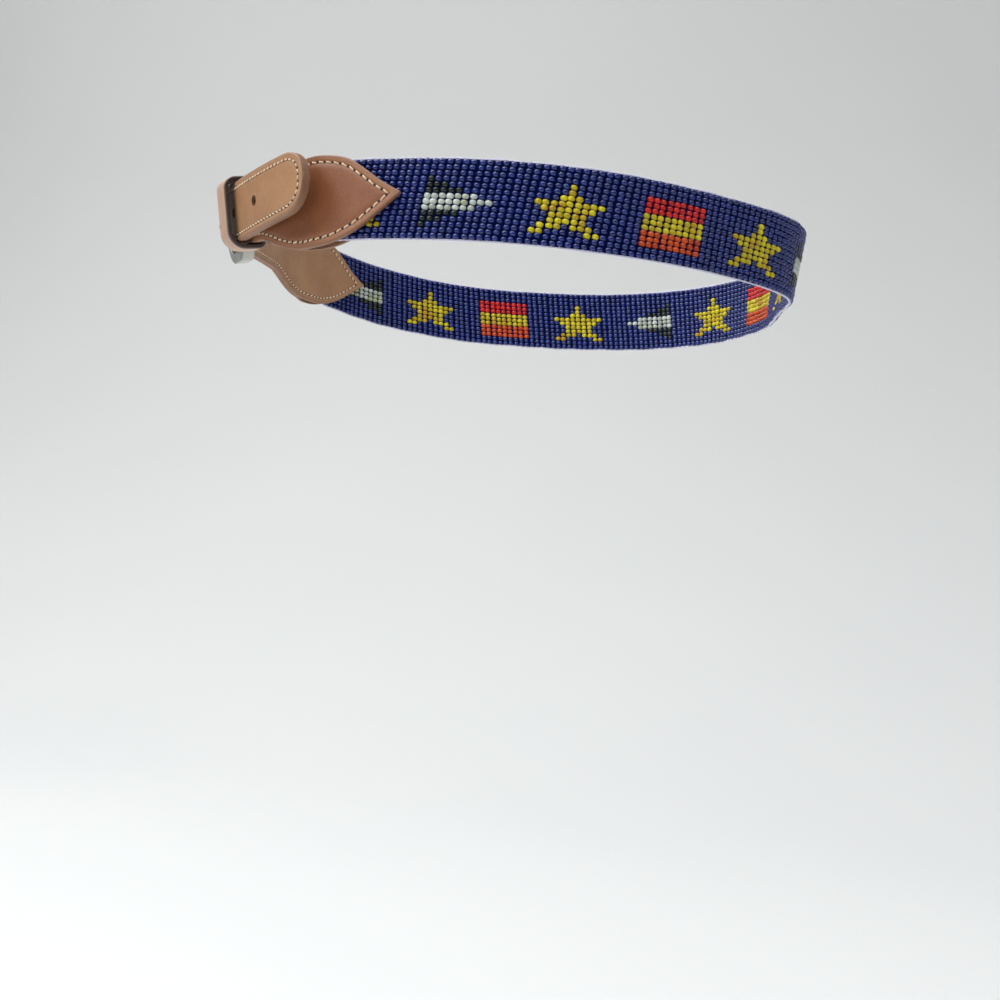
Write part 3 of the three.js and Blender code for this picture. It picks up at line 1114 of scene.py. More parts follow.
@dataclass
class BeadBand:
    """The loomed strip: beads, warps and the thread turns along both edges."""

    loop: BeltLoop
    billet: Billet
    blue_parts: int = 3
    bead_radius: float = 1.2
    bead_half_length: float = 0.83
    bead_sides: int = 10
    bead_profile: tuple[float, ...] = (115, 80, 44, 0, -44, -80, -115)
    bead_hole: float = 0.42
    shade_sheet_half_depth: float = 0.3
    shade_sheet_step: float = 2.4
    warp_radius: float = 0.24
    warp_step: float = 1.6
    edge_warp_radius: float = 0.3
    edge_warp_rise: float = 0.14
    turn_radius: float = 0.13
    turn_depth: float = 0.42
    turn_reach: float = 0.62
    seed: int = 7

    def __post_init__(self) -> None:
        """Finds both ends of the strip."""
        self.chart = BeadChart()
        self.start = TAB_TIP_ARC - BAND_TUCK
        self.end = self.loop.length + self.billet.far_tip_arc + BAND_TUCK
        self.random = random.Random(self.seed)

    def build(self) -> list[bpy.types.Object]:
        """Makes the pieces.

        Returns:
            Bead pieces, then threads.
        """
        shape, faces = self._bead_shape()
        piles: dict[tuple[Bead, int], list] = {}
        columns = self._columns()
        span = len(columns) / self.blue_parts
        for order, column in enumerate(columns):
            wobble = self.random.uniform(-0.12, 0.12)
            for row in range(BEAD_ROWS):
                colour = self.chart.colour(column, row)
                part = min(self.blue_parts - 1, int(order / span)) if colour is Bead.BLUE else 0
                placed = self._bead(shape, column, row, wobble)
                tone = self.random.random()
                piles.setdefault((colour, part), []).append((placed, tone))
        pieces = []
        for (colour, part), beads in piles.items():
            name = f"beads_{colour.name.lower()}"
            if colour is Bead.BLUE:
                name += f"_{part + 1}"
            points = np.concatenate([placed for placed, _ in beads])
            steps = np.arange(len(beads))[:, None, None] * len(shape)
            tones = np.repeat([tone for _, tone in beads], len(shape))
            piece = pile_object(name, points, (faces[None] + steps).reshape(-1, 4), tones, 70.0)
            piece.data.materials.append(BEAD_FINISHES[colour].build(name))
            pieces.append(piece)
        return pieces + [self._warps(), self._edges()]

    def _bead_shape(self) -> tuple[np.ndarray, np.ndarray]:
        """Spins the profile of one bead.

        Returns:
            Vertices and faces of a bead with a radius and half length of 1.
        """
        shape = bmesh.new()
        wall = 1 - self.bead_hole
        turns = [math.radians(a) for a in self.bead_profile]
        line = [shape.verts.new((self.bead_hole + wall * math.cos(a), 0.0, math.sin(a))) for a in turns]
        edges = [shape.edges.new(pair) for pair in zip(line, line[1:])]
        bmesh.ops.spin(
            shape,
            geom=line + edges,
            cent=(0.0, 0.0, 0.0),
            axis=UP,
            angle=2 * math.pi,
            steps=self.bead_sides,
            use_merge=True,
        )
        bmesh.ops.recalc_face_normals(shape, faces=shape.faces)
        shape.verts.index_update()
        points = np.array([tuple(vert.co) for vert in shape.verts])
        faces = np.array([[vert.index for vert in face.verts] for face in shape.faces])
        shape.free()
        return points, faces

    def _columns(self) -> range:
        """Numbers of the columns that fit on the strip."""
        first = math.ceil((self.start + 1.2 - FIRST_COLUMN_ARC) / COLUMN_PITCH)
        last = math.floor((self.end - 1.2 - FIRST_COLUMN_ARC) / COLUMN_PITCH)
        return range(first, last + 1)

    def _bead(self, shape: np.ndarray, column: int, row: int, wobble: float) -> np.ndarray:
        """Places one bead, a little off its place as on a real loom.

        Args:
            shape: Vertices of a bead.
            column: Its column.
            row: Its row from the top.
            wobble: How far its column is off.

        Returns:
            Its vertices.
        """
        rand = self.random
        height = BAND_HALF - ROW_PITCH * (row + 0.5)
        arc = FIRST_COLUMN_ARC + COLUMN_PITCH * column + height * COLUMN_SKEW
        arc += wobble + rand.gauss(0.0, 0.05)
        place = self.loop.place(min(max(arc, self.start + 0.6), self.end - 0.6))
        centre = place.at(rand.gauss(0.0, 0.05), height + rand.gauss(0.0, 0.05))
        axis = (place.rise + place.along * (COLUMN_SKEW + rand.gauss(0.0, 0.07))).normalized()
        axis = (axis + place.out * rand.gauss(0.0, 0.06)).normalized()
        side = place.out.cross(axis).normalized()
        turn = rand.uniform(0.0, 2 * math.pi)
        first = side * math.cos(turn) + axis.cross(side) * math.sin(turn)
        radius = self.bead_radius * rand.uniform(0.91, 1.03)
        length = self.bead_half_length * rand.uniform(0.88, 1.06)
        basis = (first * radius, axis.cross(first) * radius, axis * length)
        return shape @ np.array([tuple(v) for v in basis]) + np.array(tuple(centre))

    def _shade_sheet(self) -> bmesh.types.BMesh:
        """Dark sheet of painted shade that closes the chinks between the beads."""
        deep, tall = self.shade_sheet_half_depth, BAND_HALF - 0.04
        corners = ((-deep, -tall), (deep, -tall), (deep, tall), (-deep, tall))
        arcs = np.arange(self.start + 0.4, self.end - 0.4, self.shade_sheet_step)
        shape = bmesh.new()
        loft(shape, [[place.at(*corner) for corner in corners] for place in map(self.loop.place, arcs)])
        return shape

    def _warps(self) -> bpy.types.Object:
        """Makes the threads between the rows, with the sheet of painted shade."""
        pile = MeshPile()
        pile.add(self._shade_sheet(), 0.1)
        arcs = np.arange(self.start + 0.2, self.end - 0.2, self.warp_step)
        for row in range(1, BEAD_ROWS):
            height = BAND_HALF - ROW_PITCH * row
            line = [self.loop.place(arc).at(0.0, height) for arc in arcs]
            pile.add(tube(line, self.warp_radius, 5), self.random.random())
        warps = pile.build("warp_threads")
        # The sheet and the warps share this near-black navy: on the sheet it is painted shade, on the warps
        # partly the threads' own navy and partly painted shade between the beads.
        finish = ThreadFinish((1, 9, 48), (2, 14, 66), 0.9, 0.0, 0.08)
        warps.data.materials.append(finish.build("warp_thread"))
        return warps

    def _edges(self) -> bpy.types.Object:
        """Makes the threads along both edges."""
        pile = MeshPile()
        arcs = np.arange(self.start + 0.2, self.end - 0.2, COLUMN_PITCH / 3)
        for side in (1, -1):
            line = []
            for index, arc in enumerate(arcs):
                sway = 0.09 * math.sin(index * 2.1) + 0.12 * math.sin(index * 0.37)
                sway += 0.08 * math.sin(index * 0.13)
                rise = side * (BAND_HALF + self.edge_warp_rise + sway * 0.5)
                line.append(self.loop.place(arc).at(sway, rise))
            pile.add(tube(line, self.edge_warp_radius, 6), 0.5)
            for column in self._columns():
                self._edge_turn(pile, column, side)
        edges = pile.build("edge_threads")
        finish = ThreadFinish((172, 170, 204), (226, 224, 242), 0.6, 0.3)
        edges.data.materials.append(finish.build("edge_thread"))
        return edges

    def _edge_turn(self, pile: MeshPile, column: int, side: int) -> None:
        """Lays the weft's turn round the edge warp.

        Args:
            pile: Where it goes.
            column: Its column.
            side: 1 at the top edge and -1 at the bottom.
        """
        height = side * (BAND_HALF - 0.25)
        arc = FIRST_COLUMN_ARC + COLUMN_PITCH * column + height * COLUMN_SKEW
        if not self.start + 0.8 < arc < self.end - 0.8:
            return
        place = self.loop.place(arc)
        shift = self.random.uniform(-0.25, 0.25)
        line = []
        for step in range(7):
            a = math.pi * step / 6
            rise = side * self.turn_reach * math.sin(a)
            line.append(place.at(self.turn_depth * math.cos(a), height + rise, shift * (step / 3 - 1)))
        pile.add(tube(line, self.turn_radius, 4), self.random.random() * 0.6)


@dataclass
class Station:
    """One cross-section of a layer of leather."""

    place: Place
    inner: float
    outer: float
    bottom: float
    top: float
    run: float


@dataclass
class LeatherLayer:
    """A layer of leather lofted through its stations."""

    name: str
    stations: list[Station]
    seam_ranges: tuple[tuple[float, float], ...] = ()
    edge_radius: float = 0.5
    edge_steps: int = 3
    seam_inset: float = 2.15
    groove_half: float = 0.9
    groove_depth: float = 0.2
    columns: tuple[float, ...] = (0.0, 0.5, 1.05, 1.5, 1.8, 2.05, 2.3, 2.6, 3.1, 4.2)
    _seam: np.ndarray | None = field(default=None, repr=False)

    def outline(self) -> np.ndarray:
        """Flat outline, up one side and down the other, as run and height."""
        top = [(s.run, s.top) for s in self.stations]
        bottom = [(s.run, s.bottom) for s in reversed(self.stations)]
        return np.array(top + bottom)

    def seam(self) -> np.ndarray:
        """Finds the line of the stitches.

        Returns:
            Points at the inset inside the outline, as run and height.
        """
        if self._seam is not None:
            return self._seam
        line = densify(self.outline(), 0.4)
        tangent = np.roll(line, -1, axis=0) - np.roll(line, 1, axis=0)
        tangent /= np.linalg.norm(tangent, axis=1, keepdims=True) + 1e-9
        normal = np.stack([tangent[:, 1], -tangent[:, 0]], axis=1)
        moved = line + normal * self.seam_inset
        gap = np.linalg.norm(moved[:, None] - line[None], axis=2).min(axis=1)
        self._seam = moved[gap > self.seam_inset - 0.06]
        return self._seam

    def sewn(self, run: float) -> bool:
        """Whether there is a seam at a distance along the layer."""
        return any(low <= run <= high for low, high in self.seam_ranges)

    def at(self, run: float, height: float, lift: float) -> tuple[Vector, Vector]:
        """Point on the layer's face.

        Args:
            run: Distance along the layer.
            height: Distance up the layer.
            lift: Distance over its face.

        Returns:
            The point and the face's normal.
        """
        runs = [s.run for s in self.stations]
        index = int(np.clip(np.searchsorted(runs, run) - 1, 0, len(runs) - 2))
        a, b = self.stations[index], self.stations[index + 1]
        share = (run - a.run) / max(1e-9, b.run - a.run)
        low = a.place.at(a.outer + lift, height)
        high = b.place.at(b.outer + lift, height)
        return low.lerp(high, share), a.place.out.lerp(b.place.out, share).normalized()

    def build(self, material: bpy.types.Material) -> bpy.types.Object:
        """Makes the layer.

        Args:
            material: Its leather.

        Returns:
            The object.
        """
        runs = np.array([s.run for s in self.stations])
        tops = np.array([s.top for s in self.stations])
        slopes = np.clip(np.gradient(tops, runs + np.arange(len(runs)) * 1e-6), -2.0, 2.0)
        rings, edge, cuts, seams, flat = [], [], [], [], []
        for station, slope in zip(self.stations, slopes):
            ring = []
            for out, rise, gap, cut_here in self._section(station, float(slope)):
                near = self._from_seam(station.run, rise)
                if out >= station.outer - 1e-6 and near < self.groove_half:
                    out -= self.groove_depth * math.cos(math.pi / 2 * near / self.groove_half) ** 2
                ring.append(station.place.at(out, rise))
                edge.append(gap)
                cuts.append(cut_here)
                seams.append(near)
                flat.append((station.run / 100, rise / 100))
            rings.append(ring)
        shape = bmesh.new()
        order = loft(shape, rings)
        mark(shape, order, edge=edge, cut=cuts, seam=seams)
        layer = shape.loops.layers.uv.new("Flat")
        spots = dict(zip(order, flat))
        for face in shape.faces:
            for corner in face.loops:
                corner[layer].uv = spots[corner.vert.index]
        obj = make_object(self.name, shape, 38.0)
        obj.data.materials.append(material)
        return obj

    def _from_seam(self, run: float, height: float) -> float:
        """Distance from the seam, or 9 mm where there is none."""
        if not self.sewn(run):
            return FAR_FROM_SEAM
        seam = self.seam()
        return float(np.hypot(seam[:, 0] - run, seam[:, 1] - height).min())

    def _section(self, station: Station, slope: float) -> list[tuple[float, float, float, float]]:
        """Outline of one section.

        Args:
            station: Where it is.
            slope: How steeply the layer's edge rises there.

        Returns:
            Points as out, rise, distance from the edge and share of cut edge.
        """
        half = (station.top - station.bottom) / 2
        middle = (station.top + station.bottom) / 2
        stretch = math.sqrt(1 + slope * slope)
        scale = stretch * min(1.0, 0.92 * half / (self.columns[-1] * stretch))
        radius = min(self.edge_radius, half * 0.45, (station.outer - station.inner) * 0.4)
        gaps = [max(radius, c * scale) for c in self.columns[1:]]
        rest = half - gaps[-1]
        rounding = []
        for step in range(self.edge_steps + 1):
            share = step / self.edge_steps
            a = math.pi / 2 * share
            out = station.outer - radius + radius * math.sin(a)
            rounding.append((out, radius - radius * math.cos(a), 1.0 - share))
        points = [(station.inner, station.bottom, 0.0, 1.0)]
        points += [(out, station.bottom + gap, 0.0, share) for out, gap, share in rounding]
        points += [(station.outer, station.bottom + gap, gap, 0.0) for gap in gaps]
        for share in (-0.5, 0.0, 0.5):
            points.append((station.outer, middle + share * rest * 1.2, half - abs(share) * rest, 0.0))
        points += [(station.outer, station.top - gap, gap, 0.0) for gap in reversed(gaps)]
        points += [(out, station.top - gap, 0.0, share) for out, gap, share in reversed(rounding)]
        return points + [(station.inner, station.top, 0.0, 1.0)]


def densify(line: np.ndarray, step: float) -> np.ndarray:
    """Adds points to a closed line.

    Args:
        line: Its points.
        step: Wanted spacing.

    Returns:
        The denser line.
    """
    out = []
    for a, b in zip(line, np.roll(line, -1, axis=0)):
        count = max(1, int(math.ceil(float(np.linalg.norm(b - a)) / step)))
        out.extend(a + (b - a) * k / count for k in range(count))
    return np.array(out)


def leaf_outline() -> np.ndarray:
    """Leaf's outline.

    Returns:
        Distance from the tip, top and bottom.
    """
    top_end, bottom_end = LEAF_POINT_OUTLINE[-1][1:]
    spread = LEAF_HALF - STRAP_HALF
    top_spread = spread + LEAF_HALF * (top_end - 1)
    bottom_spread = spread - LEAF_HALF * (bottom_end + 1)
    rows = [(a * LEAF_POINT, t * LEAF_HALF, b * LEAF_HALF) for a, t, b in LEAF_POINT_OUTLINE]
    for a, t, b in LEAF_SHOULDER_OUTLINE:
        top, bottom = STRAP_HALF + t * top_spread, STRAP_HALF + b * bottom_spread
        rows.append((LEAF_POINT + a * LEAF_SHOULDER, top, -bottom))
    knots = np.array(rows)
    fine = []
    for index in range(len(knots) - 1):
        before = knots[max(0, index - 1)]
        after = knots[min(len(knots) - 1, index + 2)]
        for t in np.linspace(0, 1, 9)[:-1]:
            fine.append(catmull(before, knots[index], knots[index + 1], after, t))
    fine.append(knots[-1])
    return np.array(fine)


LEAF = leaf_outline()


def leaf_edges(distance: float) -> tuple[float, float]:
    """Edges of a leaf and the strap after it.

    Args:
        distance: Distance from the leaf's tip.

    Returns:
        Top and bottom.
    """
    if distance >= LEAF_LENGTH:
        return STRAP_HALF, -STRAP_HALF
    top = float(np.interp(distance, LEAF[:, 0], LEAF[:, 1]))
    return top, float(np.interp(distance, LEAF[:, 0], LEAF[:, 2]))


def leaf_stations(length: float, place_at: Callable[[float], Place], facing: int) -> list[Station]:
    """Sections of a leaf and the strap after it.

    Args:
        length: Whole length.
        place_at: Axes at a distance from the tip.
        facing: 1 for the outer side of the belt and -1 for the inner side.

    Returns:
        The sections from the tip.
    """
    shut = BAND_TUCK + CLEARANCE
    stations = []
    for distance in list(LEAF_TIP_STEPS) + list(np.arange(4.1, length, 1.0)) + [length]:
        place = place_at(distance)
        top, bottom = leaf_edges(distance)
        inner = BAND_ROOM * (1 - ramp(shut, shut + LEAF_CLOSING, distance)) + 0.01
        place = place if facing > 0 else place.flipped()
        stations.append(Station(place, inner, inner + LEATHER, bottom, top, distance))
    return stations


@dataclass
class Stitching:
    """Saddle stitches and their needle holes on the faces of leather layers."""

    seed: int
    pitch: float
    stitch_lifts: tuple[tuple[float, float], ...] = (
        # share of the stitch, lift over the leather
        (0.0, -0.45),
        (0.14, -0.1),
        (0.5, 0.06),
        (0.86, -0.1),
        (1.0, -0.45),
    )
    hole_sides: int = 8
    hole_lift: float = -0.06
    hole_rise: float = 0.05
    hole_depth: float = 0.2

    def __post_init__(self) -> None:
        """Starts the two piles."""
        self.thread = MeshPile()
        self.holes = MeshPile()
        self.random = random.Random(self.seed)

    def sew(self, layer: LeatherLayer) -> None:
        """Lays stitches along a layer's seam.

        Args:
            layer: The layer.
        """
        line = [p for p in layer.seam() if layer.sewn(p[0])]
        runs: list[list[np.ndarray]] = [[line[0]]]
        for before, after in zip(line, line[1:]):
            if np.linalg.norm(after - before) > 2.0:
                runs.append([])
            runs[-1].append(after)
        for run in runs:
            if len(run) >= 4:
                self._sew_run(layer, np.array(run))

    def _sew_run(self, layer: LeatherLayer, line: np.ndarray) -> None:
        """Sews one unbroken run.

        Args:
            layer: The layer.
            line: Its seam, as run and height.
        """
        steps = np.linalg.norm(np.diff(line, axis=0), axis=1)
        along = np.concatenate([[0], np.cumsum(steps)])

        def flat(at: float) -> tuple[float, float]:
            """Run and height at a distance along the seam."""
            return float(np.interp(at, along, line[:, 0])), float(np.interp(at, along, line[:, 1]))

        for index in range(int(along[-1] / self.pitch)):
            low = index * self.pitch + 0.3
            high = low + self.pitch * self.random.uniform(0.58, 0.68)
            slant = self.random.uniform(0.15, 0.45)
            path = []
            for share, lift in self.stitch_lifts:
                run, height = flat(low + (high - low) * share)
                path.append(layer.at(run, height + slant * (share - 0.5), lift)[0])
            width = self.random.uniform(0.24, 0.3)
            self.thread.add(tube(path, width, 6), self.random.random())
            self._hole(*layer.at(*flat(high + self.pitch * 0.19), self.hole_lift))

    def _hole(self, point: Vector, normal: Vector) -> None:
        """Makes one needle hole, a dark blob of painted shade.

        Args:
            point: Its middle.
            normal: The leather's normal.
        """
        side = normal.orthogonal().normalized()
        radius = self.random.uniform(0.4, 0.5)
        shape = bmesh.new()
        bmesh.ops.create_uvsphere(shape, u_segments=self.hole_sides, v_segments=2, radius=radius)
        for vert in shape.verts:
            vert.co.z *= (self.hole_rise if vert.co.z > 0 else self.hole_depth) / radius
        axes = Matrix((side, normal.cross(side), normal)).transposed().to_4x4()
        axes.translation = point
        bmesh.ops.transform(shape, matrix=axes, verts=shape.verts)
        self.holes.add(shape)

    def build(self, prefix: str) -> list[bpy.types.Object]:
        """Makes the two pieces.

        Args:
            prefix: Start of their names.

        Returns:
            The thread and the holes.
        """
        thread = self.thread.build(f"{prefix}_stitches")
        finish = ThreadFinish((206, 164, 124), (244, 212, 176))
        thread.data.materials.append(finish.build(f"{prefix}_thread"))
        holes = self.holes.build(f"{prefix}_needle_holes")
        # Near-black needle holes: painted shade inside the holes.
        finish = ThreadFinish((12, 6, 4), (30, 18, 12))
        holes.data.materials.append(finish.build(f"{prefix}_holes"))
        return [thread, holes]


@dataclass
class BuckleTab:
    """Tab folded round the heel bar, with its stitches."""

    loop: BeltLoop
    buckle: BuckleAxes
    stitch_pitch: float = 2.75
    fold_steps: int = 14
    slot_back: float = 4.6
    seed: int = 3

    def __post_init__(self) -> None:
        """Finds the tab's length."""
        self.length = TAB_TIP_ARC - HEEL_BAR_ARC

    def _side(self, facing: int) -> list[Station]:
        """Sections of one side, opened for the heel bar.

        Args:
            facing: 1 for the outer side and -1 for the inner side.

        Returns:
            The sections from the tip.
        """
        stations = leaf_stations(self.length, lambda d: self.loop.place(TAB_TIP_ARC - d), facing)
        bore = HEEL_BAR_RADIUS + CLEARANCE
        for station in stations:
            opened = bore * ramp(self.length - FOLD_RADIUS - 2.5, self.length - 0.2, station.run)
            station.inner = max(station.inner, opened)
            station.outer = station.inner + LEATHER
        return stations

    def build(self, material: bpy.types.Material) -> list[bpy.types.Object]:
        """Makes the pieces.

        Args:
            material: Leather.

        Returns:
            The leather, its stitches and their holes.
        """
        front, back = self._side(1), self._side(-1)
        heel = self.loop.place(HEEL_BAR_ARC)
        end = front[-1]
        whole = list(front)
        for step in range(1, self.fold_steps):
            angle = math.pi * step / self.fold_steps
            out = heel.out * math.cos(angle) - heel.along * math.sin(angle)
            place = Place(heel.centre, heel.along, out, heel.rise)
            run = self.length + angle * FOLD_RADIUS
            whole.append(Station(place, end.inner, end.outer, -STRAP_HALF, STRAP_HALF, run))
        total = self.length + math.pi * FOLD_RADIUS
        whole += [replace(station, run=total + self.length - station.run) for station in reversed(back)]
        sewn = ((0.0, self.length - 5), (total + 5, total + self.length))
        body = LeatherLayer("buckle_tab_leather", whole, sewn).build(material)
        cut(body, self._slot_cutter())
        shade(body, 38.0)
        stitching = Stitching(self.seed, self.stitch_pitch)
        for side in (front, back):
            stitching.sew(LeatherLayer("side", side, ((0.0, self.length - 6.0),)))
        return [body] + stitching.build("tab")

    def _slot_cutter(self) -> bpy.types.Object:
        """Box of the prong's slot."""
        near, far = FOLD_RADIUS + LEATHER, -FOLD_RADIUS - self.slot_back
        buckle = self.buckle
        size = Vector((near - far, PRONG_RING_WIDTH + 4 * CLEARANCE, 2 * FOLD_RADIUS + 2))
        axes = Matrix((-buckle.along, buckle.rise, buckle.out)).transposed().to_4x4()
        axes.translation = buckle.at((near + far) / 2, 0.0, 0.0)
        shape = bmesh.new()
        bmesh.ops.create_cube(shape, size=1.0, matrix=axes @ Matrix.Diagonal(size.to_4d()))
        bmesh.ops.recalc_face_normals(shape, faces=shape.faces)
        return make_object("slot_cutter", shape)


@dataclass
class BilletStrap:
    """Strap with the holes, two layers of leather stitched together."""

    loop: BeltLoop
    billet: Billet
    buckle: BuckleAxes
    stitch_pitch: float = 2.1
    edge_radius: float = 0.6
    tip_rounding: float = 9.5
    tip_squareness: float = 2.4
    tip_least_half: float = 1.6
    tip_shares: tuple[float, ...] = (
        *(1.0, 0.86, 0.72, 0.6, 0.48, 0.38),
        *(0.29, 0.21, 0.14, 0.09, 0.05, 0.02, 0.0),
    )
    hole_radius: float = 1.65
    prong_room: float = 0.45
    seed: int = 5

    def _stations(self, facing: int) -> list[Station]:
        """Sections of one layer, from its leaf to the strap's tip.

        Args:
            facing: 1 for the outer side and -1 for the inner side.

        Returns:
            The sections.
        """
        billet = self.billet
        stations = leaf_stations(LEAF_LENGTH, lambda d: self.loop.place(billet.far_tip_arc + d), facing)
        arcs = list(np.arange(billet.leaf_end_arc + 1.0, billet.tip_arc - self.tip_rounding, 0.9))
        arcs += [billet.tip_arc - share * self.tip_rounding for share in self.tip_shares]
        run, here = stations[-1].run, stations[-1].place.centre
        for arc in arcs:
            place = billet.place(arc)
            run += (place.centre - here).length
            here = place.centre
            half = self._half(billet.tip_arc - arc)
            place = place if facing > 0 else place.flipped()
            stations.append(Station(place, 0.01, LEATHER, -half, half, run))
        return stations

    def _half(self, from_tip: float) -> float:
        """Half width of the strap at a distance from its tip."""
        share = max(0.0, 1 - from_tip / self.tip_rounding)
        rounded = STRAP_HALF * (1 - share**self.tip_squareness) ** (1 / self.tip_squareness)
        return max(self.tip_least_half, rounded)

    def build(self, material: bpy.types.Material) -> list[bpy.types.Object]:
        """Makes the pieces.

        Args:
            material: Leather.

        Returns:
            Both layers, the stitches and their holes.
        """
        pieces = []
        stitching = Stitching(self.seed, self.stitch_pitch)
        for facing, name in ((1, "billet_front_leather"), (-1, "billet_back_leather")):
            stations = self._stations(facing)
            layer = LeatherLayer(name, stations, ((0.0, stations[-1].run),), self.edge_radius)
            body = layer.build(material)
            cut(body, self._cutter())
            shade(body, 38.0)
            pieces.append(body)
            stitching.sew(layer)
        return pieces + stitching.build("billet")

    def _cutter(self) -> bpy.types.Object:
        """Pins of the strap's holes."""
        pile = MeshPile()
        for hole in range(HOLE_COUNT):
            if hole == HOLE_IN_USE:
                line = [self.buckle.prong_start, self.buckle.prong_tip]
                pile.add(tube(line, PRONG_RADIUS + self.prong_room, 20))
                continue
            arc = self.billet.arc_from(self.billet.tip_arc, -(TIP_TO_FIRST_HOLE + hole * HOLE_PITCH))
            place = self.billet.place(arc)
            pile.add(tube([place.at(-4.0, 0.0), place.at(4.0, 0.0)], self.hole_radius, 24))
        return pile.build("hole_cutter")


@dataclass
class RoundedBox:
    """Rectangle with rounded corners."""

    left: float
    bottom: float
    right: float
    top: float
    left_radius: float
    lower: float
    upper: float
    steps: int = 8

    def points(self) -> list[tuple[float, float]]:
        """Outline, counter-clockwise from its lower right corner."""
        radius = self.left_radius
        corners = (
            (self.right - self.lower, self.bottom + self.lower, self.lower, -90),
            (self.right - self.upper, self.top - self.upper, self.upper, 0),
            (self.left + radius, self.top - radius, radius, 90),
            (self.left + radius, self.bottom + radius, radius, 180),
        )
        points = []
        for x, y, reach, start in corners:
            for step in range(self.steps + 1):
                a = math.radians(start + 90 * step / self.steps)
                points.append((x + reach * math.cos(a), y + reach * math.sin(a)))
        return points

    def grown(self, by: float) -> "RoundedBox":
        """The same box with a wall round it."""
        sides = (self.left - by, self.bottom - by, self.right + by, self.top + by)
        return RoundedBox(*sides, self.left_radius + by, self.lower + by, self.upper + by, self.steps)


@dataclass
class Keeper:
    """Leather loop with burnished dark edges, and inner faces darkened as painted shade."""

    loop: BeltLoop
    wall: float = 1.4
    slack: float = 0.6
    front_slack: float = 1.9
    back_corner: float = 0.9
    top_corner: float = 2.4
    bottom_corner: float = 4.4
    edge_radius: float = 0.6
    edge_steps: int = 4

    def _section(self) -> list[tuple[float, float, float]]:
        """Section of the wall as share of the wall, place along the belt and share of cut edge."""
        half = KEEPER_WIDTH / 2
        rounding = []
        for step in range(self.edge_steps + 1):
            a = math.pi / 2 * step / self.edge_steps
            share = 1 - (self.edge_radius / self.wall) * (1 - math.sin(a))
            along = half - self.edge_radius * (1 - math.cos(a))
            rounding.append((share, along, 1.0 - step / (self.edge_steps + 1)))
        flat = [(1.0, share * (half - self.edge_radius), 0.0) for share in (-0.7, -0.35, 0.0, 0.35, 0.7)]
        near = [(share, -along, cut_here) for share, along, cut_here in rounding]
        # Points on the inner face are marked as cut edge, so they take the dark edge colour as painted shade
        # inside the loop.
        return [(0.0, -half, 1.0)] + near + flat + rounding[::-1] + [(0.0, half, 1.0), (0.0, 0.0, 1.0)]

    def build(self, material: bpy.types.Material) -> list[bpy.types.Object]:
        """Makes the keeper.

        Args:
            material: Its leather.

        Returns:
            The one object.
        """
        inner = RoundedBox(
            -(LEATHER + self.slack),
            -(STRAP_HALF + self.slack),
            BILLET_OVER_TAB + LEATHER + self.front_slack,
            STRAP_HALF + BILLET_RISE + self.slack,
            self.back_corner,
            self.bottom_corner,
            self.top_corner,
        )
        place = self.loop.place(KEEPER_ARC)
        rings, cuts, edges = [], [], []
        for a, b in zip(inner.points(), inner.grown(self.wall).points()):
            a, b = Vector(a), Vector(b)
            ring = []
            for share, along, cut_here in self._section():
                ring.append(place.at(*a.lerp(b, share), along))
                cuts.append(cut_here)
                edges.append(max(0.0, KEEPER_WIDTH / 2 - abs(along)))
            rings.append(ring)
        shape = bmesh.new()
        order = loft(shape, rings, Ends.JOINED)
        mark(shape, order, cut=cuts, edge=edges, seam=[FAR_FROM_SEAM] * len(order))
        obj = make_object("keeper_leather", shape)
        obj.data.materials.append(material)
        return [obj]


